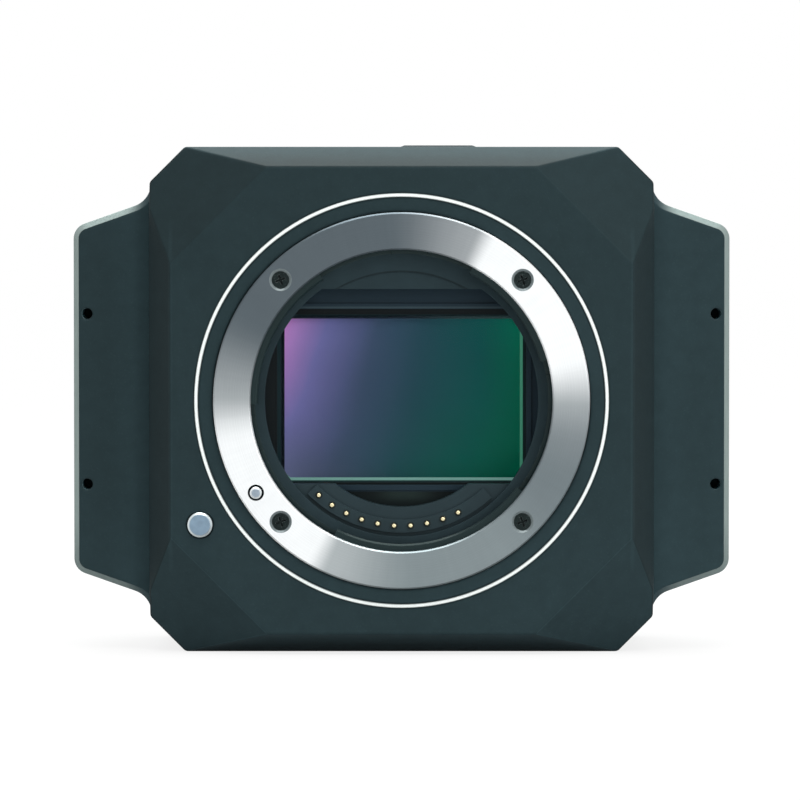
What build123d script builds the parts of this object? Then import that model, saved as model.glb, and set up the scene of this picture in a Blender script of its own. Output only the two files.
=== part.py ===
from build123d import *
from math import cos, radians, sin, sqrt
import os

# An aerial mapping camera body: a milled shell with a wing on each side, a bayonet lens mount
# with its release, a focal plane shutter with folding blades, the image sensor and its boards,
# and a finned rear cover.
# Millimetres. The front faces -Y, +X is to the right seen from the front and +Z is up.
# The origin is the centre of the lens mount on its flange plane. Depths grow towards +Y.

# Shell
body_half_width = 40.75
body_half_height = 40.85
body_corner_leg = 5.7
body_corner_round = 1.0
shell_back = 36.0
wall = 2.4
front_wall = 4.5
front_face_depth = 1.0
face_half_width = 37.1
face_half_height = 37.5
face_corner_distance = 41.75
facet_run = 7.0
side_facet_run = 5.3
edge_radius = 0.4
screw_block = 8.0
screw_block_length = 9.0

# Wings
wing_half_span = 53.35
wing_front = 11.0
wing_thickness = 8.0
wing_root_half_height = 32.3
wing_tip_half_height = 27.86
wing_root_fillet = 4.0
wing_tip_fillet = 2.6
wing_bevel = 0.9
wing_bevel_depth = 1.3
wing_hole_edge = 2.25
wing_hole_z = 13.85
wing_hole_radius = 0.9
wing_hole_depth = 6.5

# Lens mount
mount_radius = 30.2
mount_lip_radius = 24.2
mount_thickness = 1.8
mount_bevel = 0.25
mount_fit = 0.15
claw_ring_thickness = 1.2
claw_ring_lip_radius = 24.6
claw_radius = 23.05
claw_bevel = 0.3
claw_spans = ((15.5, 62.0), (123.0, 181.5), (243.5, 323.0))
leaf_ring_radius = 25.0
leaf_ring_inner_radius = 23.6
leaf_thickness = 0.25
leaf_rise = 0.45
leaf_spans = ((66.0, 108.0), (186.0, 228.0), (328.0, 370.0))
mount_screw_circle_radius = 27.4
mount_screw_angles = (45.0, 135.0, 225.0, 315.0)
mount_screw_head_radius = 1.4
mount_screw_head_height = 0.75
mount_screw_sink = 0.3
mount_screw_seat_fit = 0.03
countersink_radius = 1.75
shell_bore_radius = 25.6
trim_ring_radius = 33.26
trim_ring_width = 0.62
trim_ring_height = 0.72
trim_ring_proud = 0.15
trim_ring_fit = 0.03

# Screws and their posts
post_radius = 2.4
post_root = 1.5
screw_radius = 0.95
screw_fit = 0.05
screw_hole_radius = 1.2
screw_head_radius = 1.9
screw_head_height = 1.1
screw_grip = 3.0
screw_end_room = 1.0
cross_width = 0.34
cross_length = 1.7
cross_depth = 0.5
cross_angle = 20.0
cover_screw_radius = 1.2
cover_screw_head_radius = 2.2
cover_screw_head_height = 2.4
cover_screw_recess = 0.3
cover_screw_fit = 0.2
cover_screw_length = 9.0
hex_socket = 1.0

# Lens release
lock_pin_circle_radius = 27.58
lock_pin_angle = 212.2
lock_pin_radius = 0.95
lock_pin_proud = 0.9
lock_pin_bevel = 0.3
lock_pin_hole_radius = 1.3
button_circle_radius = 37.97
button_angle = 211.6
button_radius = 2.0
button_depth = 0.2
button_bevel = 0.35
button_hole_bevel = 0.25
release_fit = 0.05
release_gap = 0.2
release_plate_thickness = 0.8
release_plate_radius = 1.25
release_stem_radius = 0.65
release_stem_fit = 0.01
spring_radius = 1.2
spring_wire_radius = 0.18
spring_turns = 4
spring_seat_gap = 0.06
spring_side_fit = 0.12

# Throat baffle
baffle_radius = 25.3
baffle_bore_radius = 22.05
baffle_tunnel_radius = 24.35
baffle_front = 4.6
baffle_lip_thickness = 1.2
baffle_gap = 0.2
baffle_ledge_height = 17.9
baffle_step_radius = 20.7
baffle_step_depth = 0.45
lug_angles = (18.0, 142.0, 270.0)
lug_half_angle = 9.0
lug_radius = 30.6
lug_screw_circle_radius = 28.1
lug_thickness = 1.2
lug_gap = 0.05
lug_screw_grip = 1.6
lug_screw_hole = 1.8

# Lens contacts
contact_count = 10
contact_circle_radius = 20.35
contact_pitch = 7.52
contact_first = 229.0
contact_radius = 0.375
contact_dome = 0.2
contact_proud = 0.7
contact_fit = 0.05
contact_flange_radius = 0.62
contact_flange_height = 0.5
contact_flange_fit = 0.1
contact_flange_depth = 1.0
contact_flange_gap = 0.02
block_inner_radius = 17.35
block_fit = 0.1
block_top = 13.6
block_front = 6.0
block_back = 9.0
pad_inner_radius = 19.36
pad_outer_radius = 21.46
pad_height = 0.6
pad_margin = 4.0
pad_blank_span = 12.0
comb_thickness = 0.12
comb_inner_radius = 17.9
comb_spine_width = 1.2
comb_finger_width = 0.8
comb_gap = 0.05

# Shutter
shutter_front = 10.2
base_plate_thickness = 0.5
cover_plate_thickness = 0.5
aperture_left = -20.3
aperture_right = 20.1
aperture_half_height = 13.7
base_aperture_left = -22.6
base_aperture_right = 20.2
base_aperture_half_height = 14.3
base_aperture_rise = 0.35
base_aperture_corner = 1.5
plate_rim_width = 0.85
plate_rim_height = 0.35
plate_corner = 3.0
plate_side_margin = 8.9
plate_pivot_margin = 2.6
plate_height_margin = 4.4
shutter_post_inset = 3.1
shutter_post_rise = 1.9
spacer_radius = 1.9
blade_count = 4
blade_height = 8.8
blade_thickness = 0.1
blade_side_lap = 0.8
arm_thickness = 0.25
layer_gap = 0.1
separator_thickness = 0.1
separator_margin = 0.4
park_gap = 0.5
closing_lap = 0.3
arm_swing = 108.0
arm_pivot_x = -35.0
arm_width = 2.2
arm_hub_radius = 1.55
link_offset = 5.0
stud_radius = 0.7
stud_fit = 0.03
rivet_radius = 0.5
rivet_fit = 0.03
open_rivet_fit = 0.15
rivet_rise = 2.2
blade_end_lap = 1.7
ear_margin = 1.1

# Shutter drive
drive_width = 8.2
drive_depth = 8.6
drive_half_height = 19.0
drive_gap = 0.1
drive_bevel = 1.0
motor_radius = 3.4
motor_length = 16.0

# Image sensor
flange_to_sensor = 18.0
sensor_centre_x = 0.1
die_width = 39.8
die_height = 27.4
die_thickness = 0.5
die_margin = 1.1
package_wall = 2.0
package_front = 16.95
package_back = 20.3
glass_width = 39.4
glass_height = 26.9
glass_thickness = 1.9
glass_front = 14.6
glass_bevel = 0.5
glass_corner = 1.2
mask_border = 3.8
mask_fit = 0.1
mask_ledge = 0.4
mask_front = 14.2
mask_thickness = 2.6
carrier_border = 5.5
carrier_front = 17.1
carrier_thickness = 1.6
carrier_fit = 0.5
carrier_post_x = 24.0
carrier_post_gap = 2.2
carrier_ear_radius = 3.2
carrier_leg_inset = 3.0
carrier_leg_z = 20.0
carrier_leg_radius = 1.9
sensor_board_inset = 1.0
board_thickness = 1.2
board_gap = 0.05

# Rear cover
gasket_thickness = 0.4
gasket_inset = 0.5
gasket_land = 0.3
cover_plate = 3.5
cover_back = 46.0
cover_bevel = 1.0
cover_rim_height = 1.5
cover_rim_width = 1.4
cover_rim_fit = 0.15
cover_screw_inset = 5.85
fin_count = 15
fin_pitch = 4.1
fin_thickness = 1.4
fin_gap = 3.0
fin_top_margin = 2.85
fin_end_step = 1.5
fin_slope = 3.0
panel_half_width = 30.0
panel_margin = 3.35
panel_height = 22.5
panel_back = 43.5
panel_wall = 2.0
heat_boss_width = 34.0
heat_boss_height = 26.0
heat_boss_centre_z = 2.0
heat_pad_inset = 1.0
heat_pad_thickness = 1.2
heat_pad_gap = 0.05

# Main board. Each chip is its centre's X and Z, its width, its height and how far it stands up.
main_board_front = 27.0
main_board_margin = 6.7
main_board_thickness = 1.6
main_board_corner_gap = 0.5
boss_clearance = 1.5
standoff_inset = 3.0
standoff_low_z = -20.0
standoff_high_z = 24.0
standoff_radius = 2.0
chips = (
    (-24.0, 8.0, 9.0, 12.0, 1.2),
    (24.5, 10.0, 8.0, 8.0, 1.0),
    (24.5, 0.0, 8.0, 8.0, 1.0),
    (-10.0, 27.0, 14.0, 14.0, 1.6),
    (-10.0, -22.0, 12.0, 12.0, 1.4),
    (10.0, -22.0, 10.0, 6.0, 2.0),
)

# Ports
port_row_rise = 11.0
port_fit = 0.2
port_sink = 0.3
port_shell = 0.35
port_mouth = 5.0
port_tongue_height = 0.75
port_tongue_share = 0.7
io_x = -18.5
io_radius = 5.2
io_wall = 0.9
io_proud = 1.2
io_flange_radius = 6.2
io_flange_thickness = 2.2
io_flange_gap = 0.05
io_pin_circle_radius = 2.4
io_pin_count = 7
io_pin_radius = 0.35
io_pin_sink = 1.2
io_insert_radius = 3.4
io_insert_height = 1.5
usb_x = -2.5
usb_width = 8.94
usb_height = 3.26
hdmi_x = 10.5
hdmi_width = 7.2
hdmi_height = 3.4
light_x = 17.3
light_radius = 0.8
light_sink = 0.1
power_x = 23.0
power_radius = 2.4
power_proud = 0.6
power_bevel = 0.3
power_fit = 0.06
power_flange_radius = 3.1
power_flange_height = 0.9
power_gap = 0.2
power_stem_radius = 1.1
power_stem_reach = 1.4
switch_width = 6.0
switch_height = 6.0
switch_bore_depth = 3.0

# Card socket and the flap over it
card_x = 6.0
card_width = 14.0
card_depth = 2.9
card_height = 15.8
card_top_gap = 0.6
card_slot_width = 11.2
card_slot_depth = 1.6
card_slot_floor = 2.0
card_window_width = 11.6
card_window_depth = 2.4
flap_width = 13.2
flap_front = 13.0
flap_back = 29.0
flap_recess = 1.0
flap_proud = 0.4
flap_ramp = 1.0
flap_fit = 0.1

# How far one form is sunk into the next so that the two become one
overlap = 0.2

# Places that follow from the sizes above
shell_inside = front_face_depth + front_wall
corner_z = body_half_height - body_corner_leg
wing_hole_x = wing_half_span - wing_hole_edge
claw_ring_back = mount_thickness + claw_ring_thickness
mount_screw_taper = (mount_screw_head_radius - screw_radius) / mount_screw_head_height
mount_screw_seat = mount_screw_head_radius + mount_screw_seat_fit
baffle_back = shutter_front - plate_rim_height - baffle_gap
cover_front = shell_back + gasket_thickness
cover_face = cover_front + cover_plate
release_plate_front = shell_inside + release_gap
release_plate_back = release_plate_front + release_plate_thickness
half_swing = arm_swing / 2
parked_centre = -(aperture_half_height + park_gap + blade_height / 2)
blade_travel = aperture_half_height + closing_lap - blade_height / 2 - parked_centre
arm_length = blade_travel / 2 / sin(radians(half_swing))
arm_pivot_z = parked_centre + rivet_rise + blade_travel / 2
shutter_left = arm_pivot_x - plate_pivot_margin
shutter_right = aperture_right + plate_side_margin
shutter_half_height = blade_height / 2 - parked_centre + plate_height_margin
base_plate_back = shutter_front + base_plate_thickness
curtain_depth = arm_thickness + blade_count * (blade_thickness + layer_gap) + layer_gap
separator_front = base_plate_back + curtain_depth + layer_gap
separator_back = separator_front + separator_thickness
cover_plate_front = separator_back + layer_gap + curtain_depth
cover_plate_back = cover_plate_front + cover_plate_thickness
cavity_width = die_width + 2 * die_margin
cavity_height = die_height + 2 * die_margin
package_width = cavity_width + 2 * package_wall
package_height = cavity_height + 2 * package_wall
package_board_front = package_back + board_gap
package_board_back = package_board_front + board_thickness
carrier_half_width = package_width / 2 + carrier_fit + carrier_border
carrier_half_height = package_height / 2 + carrier_fit + carrier_border
carrier_post_z = shutter_half_height + carrier_post_gap + post_radius
heat_boss_front = package_board_back + heat_pad_thickness + 2 * heat_pad_gap
main_board_back = main_board_front + main_board_thickness
main_board_half_width = body_half_width - main_board_margin
main_board_half_height = body_half_height - main_board_margin
standoff_x = main_board_half_width - standoff_inset
panel_bottom = panel_margin - body_half_height
panel_top = panel_bottom + panel_height
panel_inner_face = panel_back - panel_wall
port_row_z = panel_bottom + port_row_rise
fin_bottom = panel_top + fin_gap
fin_top = body_half_height - fin_top_margin


def polar(radius, angle):
    """The front-view point at a radius and an angle from +X towards +Z."""
    return radius * cos(radians(angle)), radius * sin(radians(angle))


def slab(sketch, front, back):
    """A sketch drawn in front view, made solid between two depths."""
    return extrude(Plane.XZ.offset(-front) * sketch, amount=back - front, dir=(0, 1, 0))


def rod(point, radius, front, back):
    """A round bar along the depth axis at a front-view point."""
    return slab(Pos(*point) * Circle(radius), front, back)


def funnel(point, front_radius, back_radius, front, back):
    """A round taper along the depth axis at a front-view point."""
    taper = mirror(Solid.make_cone(front_radius, back_radius, back - front), about=Plane.XY)
    return Plane.XZ.offset(-front) * Pos(*point) * taper


def tube(outer, inner, front, back):
    """A ring about the lens axis between two depths."""
    return slab(Circle(outer) - Circle(inner), front, back)


def sector(inner, outer, start, end):
    """A front-view sector of a ring between two angles."""
    outer_arc = CenterArc((0, 0), outer, start, end - start)
    inner_arc = CenterArc((0, 0), inner, start, end - start)
    sides = [Line(outer_arc @ i, inner_arc @ i) for i in (0, 1)]
    return make_face([outer_arc, inner_arc, *sides])


def panel(left, right, bottom, top):
    """A front-view rectangle from its four sides."""
    return Pos((left + right) / 2, (bottom + top) / 2) * Rectangle(right - left, top - bottom)


def frame_panel(left, right, half_height, margin=0.0):
    """A front-view rectangle centred on the axis in height and grown by a margin."""
    return panel(left - margin, right + margin, -half_height - margin, half_height + margin)


def body_section(inset):
    """The shell's front-view outline with its four cut corners, moved inwards."""
    leg = body_corner_leg - inset * (2 - sqrt(2))
    outline = Rectangle(2 * (body_half_width - inset), 2 * (body_half_height - inset))
    outline = chamfer(outline.vertices(), leg)
    rounding = body_corner_round - inset
    return fillet(outline.vertices(), rounding) if rounding > 0 else outline


def trim(block, angle, distance, depth, rise, run, inset=0.0):
    """Cut a block by a sloping facet that stands at a distance from the axis at a depth."""
    outward = Vector(cos(radians(angle)), 0, sin(radians(angle)))
    normal = (outward * run - Vector(0, rise, 0)).normalized()
    origin = outward * distance + Vector(0, depth, 0) - normal * inset
    return split(block, bisect_by=Plane(origin=origin, z_dir=normal), keep=Keep.BOTTOM)


def faceted_block(inset, front, back):
    """The shell's faceted form, moved inwards by an inset."""
    corner_distance = (body_half_width + body_half_height - body_corner_leg) / sqrt(2)
    block = slab(body_section(inset), front, back)
    for angle in (90, 270):
        rise = body_half_height - face_half_height
        block = trim(block, angle, face_half_height, front_face_depth, rise, facet_run, inset)
    for angle in (0, 180):
        rise = body_half_width - face_half_width
        block = trim(block, angle, face_half_width, front_face_depth, rise, side_facet_run, inset)
    for angle in mount_screw_angles:
        rise = corner_distance - face_corner_distance
        block = trim(block, angle, face_corner_distance, front_face_depth, rise, facet_run, inset)
    return block


def wing():
    """The right wing, with its sloping ends, rounded tips and bevelled rim."""
    shoulder = wing_root_half_height + 2 * wing_root_fillet
    root = body_half_width - wall
    outline = make_face(
        Polyline(
            (root, shoulder),
            (body_half_width, shoulder),
            (body_half_width, wing_root_half_height),
            (wing_half_span, wing_tip_half_height),
            (wing_half_span, -wing_tip_half_height),
            (body_half_width, -wing_root_half_height),
            (body_half_width, -shoulder),
            (root, -shoulder),
            close=True,
        )
    )
    tips = outline.vertices().group_by(Axis.X)[-1]
    outline = fillet(tips, wing_tip_fillet)
    roots = [v for v in outline.vertices() if abs(abs(v.Y) - wing_root_half_height) < 0.01]
    outline = fillet(roots, wing_root_fillet) & panel(root, wing_half_span, -corner_z, corner_z)
    plate = slab(outline, wing_front, wing_front + wing_thickness)
    rim = [
        e
        for e in plate.edges().filter_by(GeomType.LINE) + plate.edges().filter_by(GeomType.CIRCLE)
        if abs(e.center().Y - wing_front) < 0.01 and e.center().X > body_half_width + wing_bevel
    ]
    front_face = plate.faces().sort_by(Axis.Y)[0]
    return chamfer(rim, wing_bevel, wing_bevel_depth, reference=front_face)


def post(point, seat):
    """A tapped post from the shell's front wall back to the depth it carries a part at."""
    solid = rod(point, post_radius, shell_inside - post_root, seat)
    return solid - rod(point, screw_radius + screw_fit, seat - screw_grip - screw_end_room, seat)


def shutter_posts():
    """The four front-view points where the shutter is screwed down."""
    xs = (shutter_left + shutter_post_inset, shutter_right - shutter_post_inset)
    z = shutter_half_height - shutter_post_rise
    return [(x, side * z) for x in xs for side in (-1, 1)]


def carrier_posts():
    """The four front-view points where the sensor carrier is screwed down."""
    return [(sx * carrier_post_x, sz * carrier_post_z) for sx in (-1, 1) for sz in (-1, 1)]


def carrier_legs():
    """The four front-view points where the sensor board is screwed to its carrier."""
    x = carrier_half_width - carrier_leg_inset
    return [(sx * x, sz * carrier_leg_z) for sx in (-1, 1) for sz in (-1, 1)]


def standoffs():
    """The four front-view points where the main board is screwed to the rear cover."""
    return [(sx * standoff_x, z) for sx in (-1, 1) for z in (standoff_low_z, standoff_high_z)]


def cover_screw_points():
    """The four front-view points of the rear cover's screws."""
    x = body_half_width - cover_screw_inset
    z = body_half_height - cover_screw_inset
    return [(sx * x, sz * z) for sx in (-1, 1) for sz in (-1, 1)]


def corner_squares(margin):
    """The front-view squares of the shell's four inner screw blocks, grown by a margin."""
    x = body_half_width - wall - screw_block / 2
    z = body_half_height - wall - screw_block / 2
    side = screw_block + 2 * margin
    squares = [Pos(sx * x, sz * z) * Rectangle(side, side) for sx in (-1, 1) for sz in (-1, 1)]
    return Sketch() + squares


def contact_angles():
    """The angle of each lens contact about the lens axis."""
    return [contact_first + contact_pitch * i for i in range(contact_count)]


def card_window(bottom, top, margin=0.0):
    """The card slot's mouth through the top wall."""
    depth = main_board_front - card_depth / 2
    size = (card_window_width - 2 * margin, card_window_depth - 2 * margin, top - bottom)
    return Pos(card_x, depth, (bottom + top) / 2) * Box(*size)


def front_housing():
    shell = faceted_block(0, front_face_depth, shell_back)
    sharp = shell.edges().filter_by(Axis.Y) + shell.edges().group_by(Axis.Y)[-1]
    shell = fillet([e for e in shell.edges() if e not in sharp], edge_radius)
    right = wing()
    shell = shell + right + mirror(right, about=Plane.YZ)
    cavity = faceted_block(wall, shell_inside, shell_back)
    cavity -= slab(corner_squares(0), shell_back - screw_block_length, shell_back)
    shell -= cavity
    shell -= rod((0, 0), mount_radius + mount_fit, front_face_depth, claw_ring_back)
    shell -= rod((0, 0), shell_bore_radius, front_face_depth, shell_inside)
    groove_inner = trim_ring_radius - trim_ring_width - trim_ring_fit
    groove_back = front_face_depth - trim_ring_proud + trim_ring_height + trim_ring_fit
    shell -= tube(trim_ring_radius + trim_ring_fit, groove_inner, front_face_depth, groove_back)
    for point in shutter_posts():
        shell += post(point, shutter_front)
    for point in carrier_posts():
        shell += post(point, carrier_front)
    for angle in mount_screw_angles:
        point = polar(mount_screw_circle_radius, angle)
        shell -= rod(point, screw_radius + screw_fit, claw_ring_back, shell_inside)
    for angle in lug_angles:
        point = polar(lug_screw_circle_radius, angle)
        shell -= rod(point, screw_radius + screw_fit, shell_inside - lug_screw_hole, shell_inside)
    pin_point = polar(lock_pin_circle_radius, lock_pin_angle)
    shell -= rod(pin_point, lock_pin_radius + release_fit, claw_ring_back, shell_inside)
    button_point = polar(button_circle_radius, button_angle)
    shell -= rod(button_point, button_radius + release_fit, front_face_depth, shell_inside)
    front_circles = shell.edges().filter_by(GeomType.CIRCLE).group_by(Axis.Y)[0]
    shell = chamfer(front_circles.sort_by(SortBy.RADIUS)[0], button_hole_bevel)
    for sx in (-1, 1):
        for sz in (-1, 1):
            point = (sx * wing_hole_x, sz * wing_hole_z)
            shell -= rod(point, wing_hole_radius, wing_front, wing_front + wing_hole_depth)
    for point in cover_screw_points():
        tip = cover_face - cover_screw_recess - cover_screw_head_height - cover_screw_length
        shell -= rod(point, cover_screw_radius + screw_fit, tip - screw_end_room, shell_back)
    flap_middle = (flap_front + flap_back) / 2
    recess = Box(flap_width, flap_back - flap_front, 2 * flap_recess)
    shell -= Pos(card_x, flap_middle, body_half_height) * recess
    shell -= card_window(body_half_height - wall - overlap, body_half_height)
    return shell


def mount_ring():
    ring = tube(mount_radius, mount_lip_radius, 0, mount_thickness)
    ring = chamfer(ring.edges().filter_by(GeomType.CIRCLE).group_by(Axis.Y)[0], mount_bevel)
    seat_height = (mount_screw_seat - screw_hole_radius) / mount_screw_taper
    for angle in mount_screw_angles:
        point = polar(mount_screw_circle_radius, angle)
        ring -= rod(point, screw_hole_radius, 0, mount_thickness)
        ring -= funnel(point, countersink_radius, mount_screw_seat, 0, mount_screw_sink)
        seat_back = mount_screw_sink + seat_height
        ring -= funnel(point, mount_screw_seat, screw_hole_radius, mount_screw_sink, seat_back)
    ring -= rod(polar(lock_pin_circle_radius, lock_pin_angle), lock_pin_hole_radius, 0, mount_thickness)
    return ring


def claw_ring():
    ring = tube(mount_radius, claw_ring_lip_radius, mount_thickness, claw_ring_back)
    for start, end in claw_spans:
        claw = sector(claw_radius, claw_ring_lip_radius + overlap, start, end)
        claw = slab(claw, mount_thickness, claw_ring_back)
        edge = claw.edges().filter_by(GeomType.CIRCLE).group_by(Axis.Y)[0].sort_by(SortBy.RADIUS)[0]
        ring += chamfer(edge, claw_bevel)
    for angle in mount_screw_angles:
        point = polar(mount_screw_circle_radius, angle)
        ring -= rod(point, screw_hole_radius, mount_thickness, claw_ring_back)
    pin_point = polar(lock_pin_circle_radius, lock_pin_angle)
    return ring - rod(pin_point, lock_pin_hole_radius, mount_thickness, claw_ring_back)


def mount_spring():
    back = baffle_front
    front = back - leaf_thickness
    spring = tube(leaf_ring_radius, leaf_ring_inner_radius, front, back)
    for start, end in leaf_spans:
        third = (end - start) / 3
        for step, rise in ((0, leaf_rise / 2), (1, leaf_rise), (2, leaf_rise / 2)):
            low = start + step * third
            arc = sector(leaf_ring_inner_radius, leaf_ring_radius, low, low + third)
            spring += slab(arc, front - rise, front)
    return spring


def cross_recess(point, front):
    """The cross-shaped driver recess of a small screw."""
    bars = Rectangle(cross_length, cross_width) + Rectangle(cross_width, cross_length)
    return slab(Pos(*point) * Rot(0, 0, cross_angle) * bars, front, front + cross_depth)


def mount_screws():
    screws = []
    front = mount_screw_sink
    for angle in mount_screw_angles:
        point = polar(mount_screw_circle_radius, angle)
        back = front + mount_screw_head_height
        screw = funnel(point, mount_screw_head_radius, screw_radius, front, back)
        shank_front = front + mount_screw_head_height / 2
        screw += rod(point, screw_radius, shank_front, shell_inside - release_gap)
        screws.append(screw - cross_recess(point, front))
    return screws


def trim_ring():
    front = front_face_depth - trim_ring_proud
    inner = trim_ring_radius - trim_ring_width
    return tube(trim_ring_radius, inner, front, front + trim_ring_height)


def release_button():
    point = polar(button_circle_radius, button_angle)
    head = rod(point, button_radius, button_depth, release_plate_front)
    head = chamfer(head.edges().filter_by(GeomType.CIRCLE).group_by(Axis.Y)[0], button_bevel)
    return head + rod(point, release_stem_radius, release_plate_front - overlap, release_plate_back)


def lock_pin():
    point = polar(lock_pin_circle_radius, lock_pin_angle)
    pin = rod(point, lock_pin_radius, -lock_pin_proud, release_plate_front)
    pin = chamfer(pin.edges().filter_by(GeomType.CIRCLE).group_by(Axis.Y)[0], lock_pin_bevel)
    return pin + rod(point, release_stem_radius, release_plate_front - overlap, release_plate_back)


def release_plate():
    pin = Vector(*polar(lock_pin_circle_radius, lock_pin_angle))
    button = Vector(*polar(button_circle_radius, button_angle))
    link = SlotCenterPoint((pin + button) / 2, button, 2 * release_plate_radius)
    link += Pos(button) * Circle(button_radius)
    for point in (pin, button):
        link -= Pos(point) * Circle(release_stem_radius + release_stem_fit)
    return slab(link, release_plate_front, release_plate_back)


def coil(point, front, back):
    """A compression spring along the depth axis between two seats."""
    low = front + spring_wire_radius + spring_seat_gap
    high = back - spring_wire_radius - spring_seat_gap
    path = Helix(pitch=(high - low) / spring_turns, height=high - low, radius=spring_radius)
    wire = Plane(origin=path @ 0, z_dir=path % 0) * RegularPolygon(spring_wire_radius, 6)
    turns = sweep(wire, path=path)
    return Pos(point[0], low, point[1]) * Rot(-90, 0, 0) * turns


def release_springs():
    points = (polar(lock_pin_circle_radius, lock_pin_angle), polar(button_circle_radius, button_angle))
    return [coil(point, release_plate_back, shutter_front) for point in points]


def baffle_mouth():
    """The throat's opening in front view: a circle cut off by the upper ledge."""
    reach = 2 * baffle_radius
    return Circle(baffle_bore_radius) & panel(-reach, reach, -reach, baffle_ledge_height)


def throat_baffle():
    lip_back = baffle_front + baffle_lip_thickness
    baffle = slab(Circle(baffle_radius) - baffle_mouth(), baffle_front, lip_back)
    baffle += tube(baffle_radius, baffle_tunnel_radius, baffle_front, baffle_back)
    step = Circle(baffle_step_radius) & panel(-baffle_radius, baffle_radius, 0, baffle_radius)
    baffle -= slab(step, baffle_front, baffle_front + baffle_step_depth)
    lug_front = shell_inside + lug_gap
    for angle in lug_angles:
        lug = sector(baffle_radius - overlap, lug_radius, angle - lug_half_angle, angle + lug_half_angle)
        lug -= Pos(*polar(lug_screw_circle_radius, angle)) * Circle(screw_hole_radius)
        baffle += slab(lug, lug_front, lug_front + lug_thickness)
    return baffle


def below_window():
    """The part of the throat, in front view, that lies below the sensor's window."""
    return panel(-baffle_radius, baffle_radius, -baffle_radius, -block_top)


def contact_block():
    ring = Circle(baffle_tunnel_radius - block_fit) - Circle(block_inner_radius)
    block = slab(ring & below_window(), block_front, block_back)
    start = contact_first - pad_margin
    end = contact_angles()[-1] + pad_margin + pad_blank_span
    pad_front = block_front - pad_height
    pad = sector(pad_inner_radius, pad_outer_radius, start, end)
    block += slab(pad, pad_front, block_front + overlap)
    flange_front = block_front + contact_flange_depth
    for angle in contact_angles():
        point = polar(contact_circle_radius, angle)
        block -= rod(point, contact_radius + contact_fit, pad_front, block_back)
        block -= rod(point, contact_flange_radius + contact_flange_fit, flange_front, block_back)
    return block


def contact_pin(angle):
    point = polar(contact_circle_radius, angle)
    tip = block_front - pad_height - contact_proud
    flange_front = block_front + contact_flange_depth + contact_flange_gap
    pin = rod(point, contact_radius, tip, block_back)
    pin = fillet(pin.edges().filter_by(GeomType.CIRCLE).group_by(Axis.Y)[0], contact_dome)
    return pin + rod(point, contact_flange_radius, flange_front, flange_front + contact_flange_height)


def contact_comb():
    """The sprung comb whose fingers press the lens contacts forwards."""
    spine_outer = comb_inner_radius + comb_spine_width
    start = contact_first - pad_margin
    end = contact_angles()[-1] + pad_margin
    comb = sector(comb_inner_radius, spine_outer, start, end)
    reach = contact_circle_radius + contact_radius - comb_inner_radius
    for angle in contact_angles():
        finger = Pos(comb_inner_radius + reach / 2, 0) * Rectangle(reach, comb_finger_width)
        comb += Rot(0, 0, angle) * finger
    front = block_back + comb_gap
    return slab(comb & below_window(), front, front + comb_thickness)


def shutter_outline():
    """The front-view outline that the shutter's plates share, with its screw holes."""
    outline = frame_panel(shutter_left, shutter_right, shutter_half_height)
    return fillet(outline.vertices(), plate_corner)


def rivet_points(index, side):
    """Where a blade's two rivets stand at rest, on the main arm and on the link arm."""
    reach = arm_length * (blade_count + 1 - index) / blade_count
    x = arm_pivot_x + reach * cos(radians(half_swing))
    z = arm_pivot_z - reach * sin(radians(half_swing))
    return (x, -side * z), (x, -side * (z - link_offset))


def arm_pivots(side):
    """Where the main arm and the link arm of a curtain turn."""
    return (arm_pivot_x, -side * arm_pivot_z), (arm_pivot_x, -side * (arm_pivot_z - link_offset))


def layer(side, step):
    """The depths of a curtain's arm layer, step 0, or of one of its blades, from step 1."""
    offset = layer_gap
    thickness = arm_thickness
    if step:
        offset += arm_thickness + layer_gap + (step - 1) * (blade_thickness + layer_gap)
        thickness = blade_thickness
    if side < 0:
        front = base_plate_back + offset
        return front, front + thickness
    back = cover_plate_front - offset
    return back - thickness, back


def curtain_blade(index, side):
    """One shutter blade with its two rivets. Side -1 parks below the aperture, +1 above."""
    (x, main_z), (_, link_z) = rivet_points(index, side)
    left = x - blade_end_lap
    right = aperture_right + blade_side_lap
    bottom = parked_centre - blade_height / 2
    top = parked_centre + blade_height / 2
    outline = panel(left, right, bottom, top)
    ear_top = -side * main_z + ear_margin
    if ear_top > top:
        outline += panel(left, x + ear_margin, bottom, ear_top)
    if side > 0:
        outline = mirror(outline, about=Plane.XZ)
    front, back = layer(side, index)
    arm_front, arm_back = layer(side, 0)
    rivet_ends = (arm_front, front) if side < 0 else (back, arm_back)
    rivets = [rod((x, z), rivet_radius, *rivet_ends) for z in (main_z, link_z)]
    return [slab(outline, front, back), *rivets]


def curtain_arm(side, link):
    """A curtain's main arm, or its parallel link arm, as it lies at rest."""
    pivot = arm_pivots(side)[link]
    hole_fit = open_rivet_fit if link else rivet_fit
    bar = Pos(arm_length / 2, 0) * SlotCenterToCenter(arm_length, arm_width) + Circle(arm_hub_radius)
    bar -= Circle(stud_radius + stud_fit)
    for index in range(1, blade_count + 1):
        reach = arm_length * (blade_count + 1 - index) / blade_count
        bar -= Pos(reach, 0) * Circle(rivet_radius + hole_fit)
    return slab(Pos(*pivot) * Rot(0, 0, side * half_swing) * bar, *layer(side, 0))


def base_opening(margin=0.0):
    """The opening of the shutter's front plate in front view, grown by a margin."""
    opening = frame_panel(base_aperture_left, base_aperture_right, base_aperture_half_height, margin)
    return Pos(0, base_aperture_rise) * fillet(opening.vertices(), base_aperture_corner + margin)


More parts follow.
